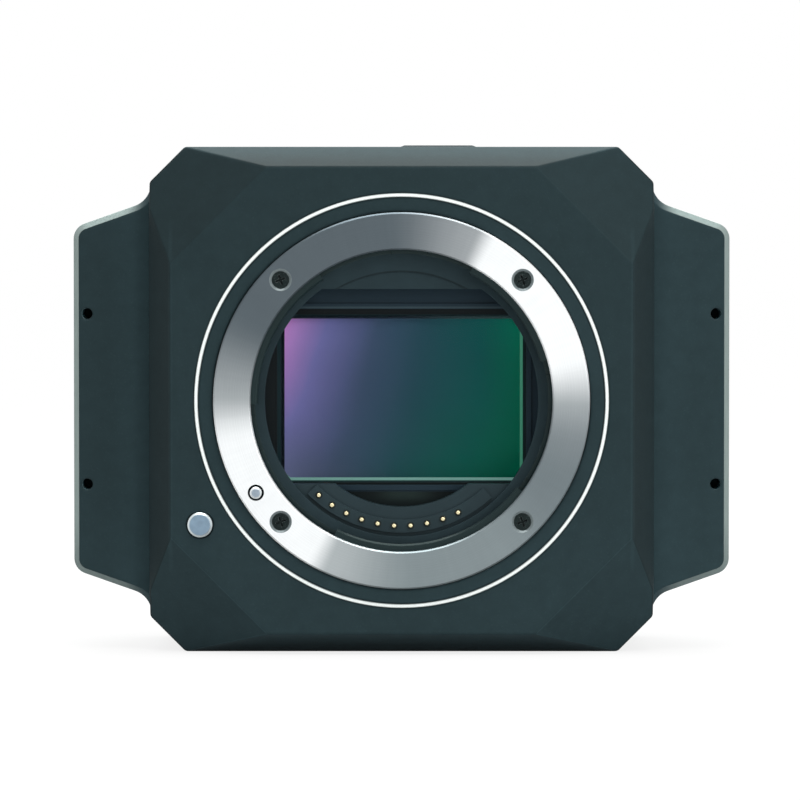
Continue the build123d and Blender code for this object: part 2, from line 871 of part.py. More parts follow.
def shutter_base_plate():
    aperture = base_opening()
    spring_seat = Circle(spring_radius + spring_wire_radius + spring_side_fit)
    rim = base_opening(plate_rim_width) - aperture
    rim -= Pos(*polar(lock_pin_circle_radius, lock_pin_angle)) * spring_seat
    outline = shutter_outline() - aperture
    for point in shutter_posts():
        outline -= Pos(*point) * Circle(screw_hole_radius)
    plate = slab(outline, shutter_front, base_plate_back)
    plate += slab(rim, shutter_front - plate_rim_height, shutter_front)
    stud_end = layer(-1, 0)[1] + layer_gap / 2
    return [plate, *[rod(point, stud_radius, base_plate_back, stud_end) for point in arm_pivots(-1)]]


def shutter_separator():
    outline = frame_panel(shutter_left, shutter_right, shutter_half_height, -separator_margin)
    outline -= frame_panel(aperture_left, aperture_right, aperture_half_height, separator_margin)
    for point in shutter_posts():
        outline -= Pos(*point) * Circle(spacer_radius + screw_fit)
    return slab(outline, separator_front, separator_back)


def shutter_cover_plate():
    outline = shutter_outline() - frame_panel(aperture_left, aperture_right, aperture_half_height)
    for point in shutter_posts():
        outline -= Pos(*point) * Circle(screw_hole_radius)
    solids = [slab(outline, cover_plate_front, cover_plate_back)]
    for point in shutter_posts():
        spacer = Pos(*point) * (Circle(spacer_radius) - Circle(screw_hole_radius))
        solids.append(slab(spacer, base_plate_back, cover_plate_front))
    stud_end = layer(1, 0)[0] - layer_gap / 2
    return solids + [rod(point, stud_radius, stud_end, cover_plate_front) for point in arm_pivots(1)]


def shutter_drive():
    """The closed unit that winds and releases the two curtains."""
    front = cover_plate_back + drive_gap
    back = front + drive_depth
    outline = frame_panel(shutter_left, shutter_left + drive_width, drive_half_height)
    case = slab(outline, front, back)
    case = chamfer(case.edges().filter_by(Axis.Z), drive_bevel)
    return case + Pos(shutter_left + drive_width / 2, back, 0) * Cylinder(motor_radius, motor_length)


def machine_screw(point, seat, tip):
    """A pan-head screw whose head bears on a seat and whose tip is at a depth."""
    head_end = seat + screw_head_height if tip < seat else seat - screw_head_height
    screw = rod(point, screw_radius, min(seat, tip), max(seat, tip))
    return screw + rod(point, screw_head_radius, min(seat, head_end), max(seat, head_end))


def internal_screws():
    screws = []
    for point in shutter_posts():
        screws.append(machine_screw(point, cover_plate_back, shutter_front - screw_grip))
    for angle in lug_angles:
        point = polar(lug_screw_circle_radius, angle)
        seat = shell_inside + lug_gap + lug_thickness
        screws.append(machine_screw(point, seat, shell_inside - lug_screw_grip))
    for point in carrier_posts():
        seat = carrier_front + carrier_thickness
        screws.append(machine_screw(point, seat, carrier_front - screw_grip))
    for point in carrier_legs():
        screws.append(machine_screw(point, package_board_back, package_board_front - screw_grip))
    for point in standoffs():
        screws.append(machine_screw(point, main_board_front, main_board_back + screw_grip))
    return screws


def window_outline(margin):
    """The sensor window's front-view outline with its cut corners, grown by a margin."""
    outline = Rectangle(glass_width + 2 * margin, glass_height + 2 * margin)
    outline = chamfer(outline.vertices(), glass_corner + margin * (2 - sqrt(2)))
    return Pos(sensor_centre_x, 0) * outline


def filter_glass():
    glass = slab(window_outline(0), glass_front, glass_front + glass_thickness)
    return chamfer(glass.edges().group_by(Axis.Y)[0], glass_bevel)


def sensor_mask():
    border = Rectangle(glass_width + 2 * mask_border, glass_height + 2 * mask_border)
    border = Pos(sensor_centre_x, 0) * border
    glass_back = glass_front + glass_thickness
    mask = slab(border - window_outline(mask_fit), mask_front, glass_back)
    return mask + slab(border - window_outline(-mask_ledge), glass_back, mask_front + mask_thickness)


def sensor_package():
    centre = Pos(sensor_centre_x, 0)
    outer = Rectangle(package_width, package_height)
    cavity = Rectangle(cavity_width, cavity_height)
    package = slab(centre * outer, package_front, package_back)
    return package - slab(centre * cavity, package_front, flange_to_sensor + die_thickness)


def sensor_die():
    die = Pos(sensor_centre_x, 0) * Rectangle(die_width, die_height)
    return slab(die, flange_to_sensor, flange_to_sensor + die_thickness)


def sensor_carrier():
    outline = Rectangle(2 * carrier_half_width, 2 * carrier_half_height)
    for x, z in carrier_posts():
        outline += Pos(x, z / 2) * Rectangle(2 * carrier_ear_radius, abs(z))
        outline += Pos(x, z) * Circle(carrier_ear_radius)
        outline -= Pos(x, z) * Circle(screw_hole_radius)
    package = Rectangle(package_width + 2 * carrier_fit, package_height + 2 * carrier_fit)
    outline -= Pos(sensor_centre_x, 0) * package
    carrier = slab(outline, carrier_front, carrier_front + carrier_thickness)
    for point in carrier_legs():
        carrier += rod(point, carrier_leg_radius, carrier_front, package_board_front)
        carrier -= rod(point, screw_radius + screw_fit, carrier_front, package_board_front)
    return carrier


def sensor_board():
    width = 2 * (carrier_half_width - sensor_board_inset)
    outline = Rectangle(width, package_height + 2 * carrier_border)
    for point in carrier_legs():
        outline -= Pos(*point) * Circle(screw_hole_radius)
    return slab(outline, package_board_front, package_board_back)


def thermal_pad():
    front = package_board_back + heat_pad_gap
    outline = Rectangle(heat_boss_width - 2 * heat_pad_inset, heat_boss_height - 2 * heat_pad_inset)
    return slab(Pos(0, heat_boss_centre_z) * outline, front, front + heat_pad_thickness)


def main_board():
    board = Rectangle(2 * main_board_half_width, 2 * main_board_half_height)
    board -= corner_squares(main_board_corner_gap)
    window = Rectangle(heat_boss_width + 2 * boss_clearance, heat_boss_height + 2 * boss_clearance)
    board -= Pos(0, heat_boss_centre_z) * window
    for point in standoffs():
        board -= Pos(*point) * Circle(screw_hole_radius)
    return slab(board, main_board_front, main_board_back)


def board_chips():
    """The main board's larger components, and the switch behind the power button."""
    solids = []
    for x, z, width, height, rise in chips:
        outline = Pos(x, z) * Rectangle(width, height)
        solids.append(slab(outline, main_board_front - rise, main_board_front))
    point = (power_x, port_row_z)
    switch_back = main_board_back + switch_height
    switch = slab(Pos(*point) * Rectangle(switch_width, switch_width), main_board_back, switch_back)
    bore = rod(point, power_stem_radius + power_fit, switch_back - switch_bore_depth, switch_back)
    solids.append(switch - bore)
    return solids


def port_outline(x, width, height, margin):
    """The front-view outline of a flat rounded socket, grown by a margin."""
    tall = height + 2 * margin
    return Pos(x, port_row_z) * RectangleRounded(width + 2 * margin, tall, tall / 2 - 0.05)


def rear_cover():
    cover = slab(body_section(0), cover_front, cover_face)
    cover = chamfer(cover.faces().sort_by(Axis.Y)[-1].edges(), cover_bevel)
    rim = body_section(wall + cover_rim_fit) - body_section(wall + cover_rim_fit + cover_rim_width)
    rim -= corner_squares(cover_rim_fit)
    cover += slab(rim, cover_front - cover_rim_height, cover_front + overlap)
    side = make_face(
        Polyline(
            (cover_face - overlap, fin_bottom),
            (cover_face - overlap, fin_top),
            (cover_face + fin_end_step, fin_top),
            (cover_back, fin_top - fin_slope),
            (cover_back, fin_bottom + fin_slope),
            (cover_face + fin_end_step, fin_bottom),
            close=True,
        )
    )
    for i in range(fin_count):
        x = (i - (fin_count - 1) / 2) * fin_pitch
        cover += extrude(Plane.YZ.offset(x - fin_thickness / 2) * side, amount=fin_thickness)
    block = panel(-panel_half_width, panel_half_width, panel_bottom, panel_top)
    cover += slab(block, cover_face - overlap, panel_back)
    inside = panel(
        panel_wall - panel_half_width,
        panel_half_width - panel_wall,
        panel_bottom + panel_wall,
        panel_top - panel_wall,
    )
    cover -= slab(inside, cover_front - cover_rim_height, panel_inner_face)
    boss = Pos(0, heat_boss_centre_z) * Rectangle(heat_boss_width, heat_boss_height)
    cover += slab(boss, heat_boss_front, cover_front + overlap)
    for point in standoffs():
        cover += rod(point, standoff_radius, main_board_back, cover_front + overlap)
        hole_end = main_board_back + screw_grip + screw_end_room
        cover -= rod(point, screw_radius + screw_fit, main_board_back, hole_end)
    for point in cover_screw_points():
        seat = cover_face - cover_screw_head_height - cover_screw_recess
        cover -= rod(point, cover_screw_radius + cover_screw_fit, cover_front, cover_face)
        cover -= rod(point, cover_screw_head_radius + cover_screw_fit, seat, cover_face)
    for x, width, height in ((usb_x, usb_width, usb_height), (hdmi_x, hdmi_width, hdmi_height)):
        cover -= slab(port_outline(x, width, height, port_fit), panel_inner_face, panel_back)
    round_ports = (
        (io_x, io_radius + port_fit),
        (power_x, power_radius + power_fit),
        (light_x, light_radius + power_fit),
    )
    for x, radius in round_ports:
        cover -= rod((x, port_row_z), radius, panel_inner_face, panel_back)
    return cover


def rear_gasket():
    outline = body_section(gasket_inset) - body_section(wall - gasket_land)
    return slab(outline, shell_back, cover_front)


def cover_screws():
    screws = []
    head_back = cover_face - cover_screw_recess
    head_front = head_back - cover_screw_head_height
    for point in cover_screw_points():
        screw = rod(point, cover_screw_head_radius, head_front, head_back)
        screw += rod(point, cover_screw_radius, head_front - cover_screw_length, head_front)
        socket = Pos(*point) * RegularPolygon(hex_socket, 6)
        screws.append(screw - slab(socket, head_back - cover_screw_head_height / 2, head_back))
    return screws


def io_connector():
    point = (io_x, port_row_z)
    back = panel_back + io_proud
    floor = back - port_mouth
    flange_back = panel_inner_face - io_flange_gap
    body = rod(point, io_flange_radius, flange_back - io_flange_thickness, flange_back)
    body += rod(point, io_radius, main_board_back, back)
    body -= rod(point, io_radius - io_wall, floor, back)
    body += rod(point, io_insert_radius, floor - overlap, floor + io_insert_height)
    for i in range(io_pin_count):
        dx, dz = polar(io_pin_circle_radius, 360 * i / io_pin_count)
        body += rod((io_x + dx, port_row_z + dz), io_pin_radius, floor, back - io_pin_sink)
    return body


def flat_port(x, width, height):
    """A flat rear socket on the main board: a metal shell with its tongue."""
    back = panel_back - port_sink
    floor = back - port_mouth
    shell = slab(port_outline(x, width, height, 0), main_board_back, back)
    shell -= slab(port_outline(x, width, height, -port_shell), floor, back)
    tongue = Pos(x, port_row_z) * Rectangle(width * port_tongue_share, port_tongue_height)
    return shell + slab(tongue, floor - overlap, back - port_sink)


def power_button():
    point = (power_x, port_row_z)
    flange_back = panel_inner_face - power_gap
    button = rod(point, power_radius, flange_back - power_flange_height, panel_back + power_proud)
    button = chamfer(button.edges().filter_by(GeomType.CIRCLE).group_by(Axis.Y)[-1], power_bevel)
    button += rod(point, power_flange_radius, flange_back - power_flange_height, flange_back)
    stem_front = main_board_back + switch_height - power_stem_reach
    return button + rod(point, power_stem_radius, stem_front, flange_back)


def status_light():
    """The light pipe that carries the board's lamp to the rear panel."""
    return rod((light_x, port_row_z), light_radius, main_board_back, panel_back - light_sink)


def card_socket():
    top = body_half_height - wall - card_top_gap
    bottom = top - card_height
    front = main_board_front - card_depth
    case = panel(card_x - card_width / 2, card_x + card_width / 2, bottom, top)
    slot_left = card_x - card_slot_width / 2
    slot = panel(slot_left, slot_left + card_slot_width, bottom + card_slot_floor, top)
    slot_front = front + (card_depth - card_slot_depth) / 2
    return slab(case, front, main_board_front) - slab(slot, slot_front, slot_front + card_slot_depth)


def port_flap():
    floor = body_half_height - flap_recess
    top = body_half_height + flap_proud
    size_x = flap_width - 2 * flap_fit
    size_y = flap_back - flap_front - 2 * flap_fit
    middle = (flap_front + flap_back) / 2
    flap = Pos(card_x, middle, (floor + top) / 2) * Box(size_x, size_y, top - floor)
    face = flap.faces().sort_by(Axis.Z)[-1]
    flap = chamfer(face.edges(), flap_ramp, flap_proud, reference=face)
    return flap + card_window(body_half_height - wall, floor + overlap, flap_fit)


def main():
    os.makedirs("parts", exist_ok=True)
    nodes = {
        "front_housing": front_housing(),
        "mount_ring": mount_ring(),
        "claw_ring": claw_ring(),
        "mount_spring": mount_spring(),
        "mount_screws": mount_screws(),
        "trim_ring": trim_ring(),
        "release_button": release_button(),
        "lock_pin": lock_pin(),
        "release_plate": release_plate(),
        "release_springs": release_springs(),
        "throat_baffle": throat_baffle(),
        "contact_block": contact_block(),
        "contact_comb": contact_comb(),
        "shutter_base_plate": shutter_base_plate(),
        "shutter_separator": shutter_separator(),
        "shutter_cover_plate": shutter_cover_plate(),
        "shutter_drive": shutter_drive(),
        "internal_screws": internal_screws(),
        "filter_glass": filter_glass(),
        "sensor_mask": sensor_mask(),
        "sensor_package": sensor_package(),
        "sensor_die": sensor_die(),
        "sensor_carrier": sensor_carrier(),
        "sensor_board": sensor_board(),
        "thermal_pad": thermal_pad(),
        "main_board": main_board(),
        "board_chips": board_chips(),
        "rear_cover": rear_cover(),
        "rear_gasket": rear_gasket(),
        "cover_screws": cover_screws(),
        "io_connector": io_connector(),
        "usb_port": flat_port(usb_x, usb_width, usb_height),
        "hdmi_port": flat_port(hdmi_x, hdmi_width, hdmi_height),
        "power_button": power_button(),
        "status_light": status_light(),
        "card_socket": card_socket(),
        "port_flap": port_flap(),
    }
    for i, angle in enumerate(contact_angles(), 1):
        nodes[f"contact_pin_{i:02d}"] = contact_pin(angle)
    for side, curtain in ((-1, "lower"), (1, "upper")):
        nodes[f"{curtain}_main_arm"] = curtain_arm(side, 0)
        nodes[f"{curtain}_link_arm"] = curtain_arm(side, 1)
        for index in range(1, blade_count + 1):
            nodes[f"{curtain}_blade_{index}"] = curtain_blade(index, side)
    for name, shape in nodes.items():
        solids = shape if isinstance(shape, list) else [shape]
        whole = Compound(children=[s for item in solids for s in item.solids()])
        export_step(whole, f"parts/{name}.step")
    print(len(nodes), "nodes")


main()
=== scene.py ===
from math import asin, atan2, cos, hypot, pi, radians, sin

import bmesh
import bpy
from bpy.props import FloatProperty, FloatVectorProperty, IntProperty, PointerProperty
from bpy.types import Operator, Panel, PropertyGroup
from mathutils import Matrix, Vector


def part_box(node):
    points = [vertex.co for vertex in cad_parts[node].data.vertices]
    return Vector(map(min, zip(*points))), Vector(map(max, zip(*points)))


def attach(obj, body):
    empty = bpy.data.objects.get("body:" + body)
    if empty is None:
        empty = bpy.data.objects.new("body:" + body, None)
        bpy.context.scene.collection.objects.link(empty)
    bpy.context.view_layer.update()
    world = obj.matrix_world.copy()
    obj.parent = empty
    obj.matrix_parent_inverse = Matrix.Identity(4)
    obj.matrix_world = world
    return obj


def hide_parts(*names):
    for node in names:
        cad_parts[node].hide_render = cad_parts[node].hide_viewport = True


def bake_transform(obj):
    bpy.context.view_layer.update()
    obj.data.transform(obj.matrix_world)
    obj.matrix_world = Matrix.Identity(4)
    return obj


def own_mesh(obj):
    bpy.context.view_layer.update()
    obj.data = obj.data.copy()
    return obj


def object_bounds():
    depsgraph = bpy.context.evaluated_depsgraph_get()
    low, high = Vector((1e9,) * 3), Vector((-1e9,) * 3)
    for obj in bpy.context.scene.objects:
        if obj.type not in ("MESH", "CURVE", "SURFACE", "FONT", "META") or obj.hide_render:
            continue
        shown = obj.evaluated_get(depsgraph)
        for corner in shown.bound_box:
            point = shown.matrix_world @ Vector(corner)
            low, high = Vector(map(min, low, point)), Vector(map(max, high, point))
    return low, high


bl_info = {
    "name": "Mapping camera finish",
    "version": (1, 0, 0),
    "blender": (4, 5, 0),
    "location": "3D View > Sidebar > Camera",
    "description": "Paint, metal, glass and small parts for a camera body without a lens",
    "category": "Object",
}

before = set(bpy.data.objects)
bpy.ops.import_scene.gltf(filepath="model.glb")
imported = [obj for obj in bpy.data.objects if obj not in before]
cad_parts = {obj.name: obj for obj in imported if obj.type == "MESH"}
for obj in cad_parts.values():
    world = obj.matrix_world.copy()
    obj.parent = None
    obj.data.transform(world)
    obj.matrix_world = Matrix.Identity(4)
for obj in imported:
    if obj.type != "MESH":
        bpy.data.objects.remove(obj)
cad_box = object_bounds()
MM = 0.001

# Places on the solids, across (X), back (Y) and up (Z) from the middle of the mount's face

SHELL_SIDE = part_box("front_housing")[1].z + 0.05 * MM
WING_FRONT = 11 * MM
WING_HOLE, WING_HOLE_DEPTH = Vector((51.1, 0, 13.85)) * MM, 6.5 * MM
RING_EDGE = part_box("mount_ring")[1].x
INLAY_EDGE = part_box("trim_ring")[1].x
MOUNT_SCREW = Vector((19.37, 0, 19.37)) * MM
COMB_INNER, COMB_OUTER, FINGER_END = 17.9 * MM, 18.5 * MM, 19.95 * MM
PINS = [f"contact_pin_{number:02d}" for number in range(1, 11)]


def tone(red, green, blue):
    """A colour as it looks on screen, 0 to 255, turned into the linear one that a shader takes."""
    shares = [value / 255 for value in (red, green, blue)]
    return tuple(s / 12.92 if s <= 0.04045 else ((s + 0.055) / 1.055) ** 2.4 for s in shares)


def scaled(colour, share, lift=0.0):
    """A colour made darker or paler."""
    return tuple(min(1.0, part * share + lift) for part in colour)


def middle(node):
    """Centre of a solid's box."""
    low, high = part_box(node)
    return (low + high) / 2


# Settings


def colour_setting(name, description, default):
    return FloatVectorProperty(
        name=name, description=description, subtype="COLOR", size=3, default=default, min=0, max=1)


def length_setting(name, description, default, least, most):
    return FloatProperty(
        name=name, description=description, subtype="DISTANCE", unit="LENGTH", default=default,
        min=least, max=most)


def power_setting(name, description, default):
    return FloatProperty(
        name=name, description=description, subtype="POWER", unit="POWER", default=default,
        min=0, max=100)


class CoatSettings(PropertyGroup):
    """Paint of the shell and the rear cover."""

    colour: colour_setting("Coat", "Colour of the painted shell", tone(33, 47, 51))
    rim: colour_setting("Bare rim", "Metal that shows on the bevel of the wings", tone(144, 157, 155))
    grain: length_setting("Grain", "Size of one grain of the paint", 0.22 * MM, 0.05 * MM, 2 * MM)
    depth: length_setting("Grain depth", "Height of the paint's grain", 0.012 * MM, 0, 0.2 * MM)


class MountSettings(PropertyGroup):
    """Steel ring of the lens mount and what is fixed to it."""

    bright: colour_setting("Bright steel", "Turned steel where it catches the light", (0.93, 0.96, 0.97))
    shade: colour_setting("Grey steel", "Turned steel between its fans, below", tone(132, 143, 146))
    dusk: colour_setting("Dark steel", "Turned steel between its fans, above", tone(92, 102, 108))
    trim: colour_setting("Inlay", "Thin ring let into the shell", tone(248, 255, 253))
    fan_angle: FloatProperty(
        name="Fan angle", description="Direction of the bright fans of the turned face", subtype="ANGLE",
        unit="ROTATION", default=radians(33.5), min=-pi, max=pi)
    pitch: length_setting(
        "Turning marks", "Distance between two turning marks", 0.16 * MM, 0.02 * MM, 1 * MM)


class ThroatSettings(PropertyGroup):
    """Black parts inside the mount."""

    baffle: colour_setting("Baffle", "Light trap behind the mount", tone(40, 55, 60))
    gold: colour_setting("Contacts", "Plating of the lens contacts", tone(240, 228, 186))
    plate: colour_setting("Shutter frame", "Blue-black frame round the window", tone(29, 46, 56))


class SensorSettings(PropertyGroup):
    """Chip, its window and its surround."""

    warm: colour_setting("Sheen, upper left", "Chip colour at its upper left corner", tone(163, 108, 168))
    middle: colour_setting("Sheen, middle", "Chip colour in the middle", tone(40, 74, 86))
    cool: colour_setting("Sheen, right", "Chip colour at the right", tone(2, 95, 72))
    bevel: colour_setting("Window bevel", "Ground edge of the window", tone(128, 178, 168))


class DetailSettings(PropertyGroup):
    """Small parts that are too fine for the solid model."""

    contact_pitch: length_setting(
        "Socket pitch", "Distance between two contacts of a flat socket", 0.5 * MM, 0.2 * MM, 2 * MM)
    wires: IntProperty(
        name="Bond wires", description="Gold wires along each short side of the chip", default=46,
        min=2, max=200)
    wire: length_setting("Wire radius", "Radius of a bond wire", 0.025 * MM, 0.005 * MM, 0.2 * MM)
    spring_wire: length_setting(
        "Spring wire", "Radius of the wire of the return springs", 0.17 * MM, 0.05 * MM, 0.3 * MM)
    ribbon: length_setting(
        "Ribbon width", "Width of the ribbon between the two boards", 6.6 * MM, 1 * MM, 8 * MM)


class StageSettings(PropertyGroup):
    """Floor, lamps and camera."""

    distance: length_setting("Camera distance", "From the mount's face to the camera", 0.7, 0.2, 5)
    height: length_setting("Camera height", "Camera above the lens axis", 22 * MM, -1, 1)
    lens: FloatProperty(
        name="Focal length", description="In millimetres on a 36 mm sensor", default=196.9,
        min=20, max=600)
    aim: FloatVectorProperty(
        name="Aim", description="The point that the camera looks at", subtype="TRANSLATION",
        unit="LENGTH", size=3, default=(-0.25 * MM, 0, 0.16 * MM))
    sky: FloatProperty(
        name="Room light", description="Strength of the light from all round", default=0.45, min=0, max=3)
    top: power_setting("Overhead lamp", "Power of the lamp above", 2.75)
    front: power_setting("Front lamp", "Power of the lamp beside the camera", 2.2)
    back: power_setting("Back lamp", "Power of the lamp above and behind", 1.55)


# Shader sums


def both_ways(operation):
    """The two methods of an operator: with the value on its left, and on its right."""
    return (lambda self, other: self.math(operation, other),
            lambda self, other: self.finish.sum(operation, other, self))


class Value:
    """A socket of a finish, so that masks are written as sums."""

    def __init__(self, finish, socket):
        self.finish = finish
        self.socket = socket

    def math(self, operation, *others):
        return self.finish.sum(operation, self, *others)

    __add__, __radd__ = both_ways("ADD")
    __sub__, __rsub__ = both_ways("SUBTRACT")
    __mul__, __rmul__ = both_ways("MULTIPLY")
    __truediv__, __rtruediv__ = both_ways("DIVIDE")
    __pow__, __rpow__ = both_ways("POWER")

    def __neg__(self):
        return self * -1.0

    def __abs__(self):
        return self.math("ABSOLUTE")

    def larger(self, other):
        return self.math("MAXIMUM", other)

    def smaller(self, other):
        return self.math("MINIMUM", other)

    def rise(self, low, high):
        """0 below low, 1 above high, smooth between."""
        span = {"Value": self, "From Min": low, "From Max": high}
        return self.finish.node("MapRange", {"interpolation_type": "SMOOTHSTEP"}, span)

    def within(self, low, high, soft):
        """1 between low and high, fading over soft to both sides of each."""
        return self.rise(low - soft, low + soft) * (1 - self.rise(high - soft, high + soft))


class Nodes:
    """A node tree that is being filled."""

    def __init__(self, tree):
        self.tree = tree

    def node(self, kind, settings=None, inputs=None, output=0):
        """A shader node of a kind, with its settings and what its sockets hold; gives one output."""
        made = self.tree.nodes.new(f"ShaderNode{kind}")
        for key, value in (settings or {}).items():
            if key == "stops":
                self.stops(made, value)
            else:
                setattr(made, key, value)
        for key, value in (inputs or {}).items():
            self.feed(self.pick(made.inputs, key), value)
        return Value(self, self.pick(made.outputs, output))

    @staticmethod
    def pick(sockets, key):
        """A socket by its name or its place among those that the node shows."""
        shown = [s for s in sockets if s.enabled]
        return shown[key] if isinstance(key, int) else next(s for s in shown if s.name == key)

    @staticmethod
    def stops(ramp, stops):
        band = ramp.color_ramp
        while len(band.elements) > 1:
            band.elements.remove(band.elements[-1])
        for index, (place, colour) in enumerate(stops):
            stop = band.elements[0] if index == 0 else band.elements.new(place)
            stop.position = place
            stop.color = (*colour, 1.0)

    def feed(self, socket, value):
        if isinstance(value, Value):
            self.tree.links.new(value.socket, socket)
        else:
            socket.default_value = (*value, 1.0) if socket.type == "RGBA" else value

    def sum(self, operation, *terms):
        return self.node("Math", {"operation": operation}, dict(enumerate(terms)))

    def seen(self):
        """1 where the eye, a reflection or a view through glass meets the surface."""
        rays = [self.node("LightPath", output=f"Is {kind} Ray")
                for kind in ("Camera", "Glossy", "Transmission")]
        return rays[0].larger(rays[1]).larger(rays[2])


class Finish(Nodes):
    """A material in the making: a Principled shader and the nodes that vary it."""

    def __init__(self, name, specular=0.5, **fixed):
        self.material = bpy.data.materials.new(name)
        self.material.use_nodes = True
        super().__init__(self.material.node_tree)
        self.shader = self.tree.nodes["Principled BSDF"]
        self.set("Specular IOR Level", specular)
        for socket, value in fixed.items():
            self.set(socket.replace("_", " "), value)

    def set(self, socket, value):
        self.feed(next(s for s in self.shader.inputs if s.name == socket), value)
        return self

    def place(self):
        return self.node("TexCoord", output="Object")

    def split(self, vector):
        return [self.node("SeparateXYZ", None, {0: vector}, axis) for axis in "XYZ"]

    def axes(self):
        return self.split(self.place())

    def facing(self):
        """Parts of the surface's own normal along X, Y and Z."""
        return self.split(self.node("TexCoord", output="Normal"))

    def stretched(self, scale):
        """The place on the object, scaled differently along its axes."""
        return self.node("VectorMath", {"operation": "MULTIPLY"}, {0: self.place(), 1: scale})

    def noise(self, size, detail, vector=None, roughness=0.5):
        return self.node("TexNoise", None, {
            "Vector": vector or self.place(), "Scale": 1 / size, "Detail": detail, "Roughness": roughness})

    def cells(self, size, vector=None):
        """Distance to the middle of an uneven cell."""
        return self.node("TexVoronoi", None, {"Vector": vector or self.place(), "Scale": 1 / size})

    def lines(self, along, pitch):
        """Uneven marks of one pitch along a length, 0 to 1."""
        inputs = {"W": along / pitch, "Scale": 1.0, "Detail": 3.0, "Roughness": 0.7}
        return self.node("TexNoise", {"noise_dimensions": "1D"}, inputs)

    def mix(self, share, first, second):
        inputs = {"Factor": share, "A": first, "B": second}
        return self.node("Mix", {"data_type": "RGBA"}, inputs)

    def tint(self, colour, share):
        """A colour times a number."""
        return self.node("VectorMath", {"operation": "SCALE"}, {"Vector": colour, "Scale": share})

    def ramp(self, value, stops):
        return self.node("ValToRGB", {"stops": stops}, {"Fac": value})

    def rounded(self, radius):
        """The normal as if the edges were rounded."""
        return self.node("Bevel", {"samples": 4}, {"Radius": radius})

    def edge(self, radius):
        """1 on a sharp edge, falling to 0 away from it."""
        terms = {0: self.rounded(radius), 1: self.node("NewGeometry", output="Normal")}
        match = self.node("VectorMath", {"operation": "DOT_PRODUCT"}, terms, "Value")
        return (1 - match).rise(0.02, 0.22)

    def rub(self, base, radius, share, colour):
        """A colour with another one showing on its edges."""
        return self.mix(self.edge(radius) * share, base, colour)

    def polar(self, centre=(0, 0)):
        """Distance from an axis along Y through centre (X, Z), and the angle round it."""
        x, _, z = self.axes()
        x, z = x - centre[0], z - centre[1]
        return (x * x + z * z) ** 0.5, z.math("ARCTAN2", x)

    def spots(self, place, inner, outer):
        """1 in the round places mirrored from one over both axes, fading from one radius to the other."""
        x, _, z = self.axes()
        across, along = abs(x) - place.x, abs(z) - place.z
        return 1 - (across * across + along * along).rise(inner ** 2, outer ** 2)

    def made(self, base, rough, height, depth, strength, radius=0.0):
        """The material, with a bump from a height of 0 to 1, on edges rounded by radius."""
        bump = {"Height": height, "Distance": depth, "Strength": strength}
        if radius:
            bump["Normal"] = self.rounded(radius)
        self.set("Base Color", base).set("Roughness", rough)
        self.set("Normal", self.node("Bump", None, bump))
        return self.material


# Finishes of the shell


def painted(name, settings, wings=False):
    """Fine-grained paint, thinner on its edges; on the shell also painted light and shade, and bare bevels
    on the wings whose pale colour is partly a painted reflection.
    """
    finish = Finish(name, 0.12, Specular_Tint=(0.78, 1.0, 0.95))
    colour = settings.colour
    grain = finish.noise(settings.grain, 3)
    fleck = finish.cells(settings.grain * 3.1).rise(0.12, 0.3)
    base = finish.mix(finish.noise(14 * MM, 3), scaled(colour, 0.9), scaled(colour, 1.1))
    base = finish.mix((1 - fleck) * grain * 0.22, base, scaled(colour, 1.8, 0.004))
    blotch = finish.noise(2.2 * MM, 4, roughness=0.65)
    base = finish.tint(base, 0.8 + blotch * 0.4)
    worn = finish.edge(0.16 * MM) * finish.noise(1.6 * MM, 3).rise(0.42, 0.72)
    base = finish.mix(worn * 0.5, base, tone(112, 124, 126))
    rough = 0.5 + grain * 0.12 - worn * 0.12
    if wings:
        base, rough = winged(finish, settings.rim, base, rough)
    return finish.made(base, rough, grain * 0.7 + (1 - fleck) * 0.3, settings.depth, 0.8, 0.6 * MM)


def winged(finish, rim, base, rough):
    """The shell's own share of its paint: painted light and shade over its facets and wings, the wings' bare
    bevels and their holes.
    """
    _, y, _ = finish.axes()
    bare = wing_bevel(finish)
    scratch = finish.noise(0.5 * MM, 4, finish.stretched((1, 1, 0.12)))
    # the bare rim's pale colour is partly a painted reflection
    metal = finish.mix(scratch, scaled(rim, 0.72), rim)
    base = finish.mix(bare, finish.tint(base, painted_shell_light(finish)), metal)
    finish.set("Metallic", bare * 0.35)
    depth = y.within(WING_FRONT + 0.3 * MM, WING_FRONT + WING_HOLE_DEPTH - 0.1 * MM, 0.08 * MM)
    drilled = finish.spots(WING_HOLE, 0.92 * MM, 1 * MM) * depth
    return finish.mix(drilled, base, tone(120, 150, 156)), rough * (1 - bare) + bare * 0.34


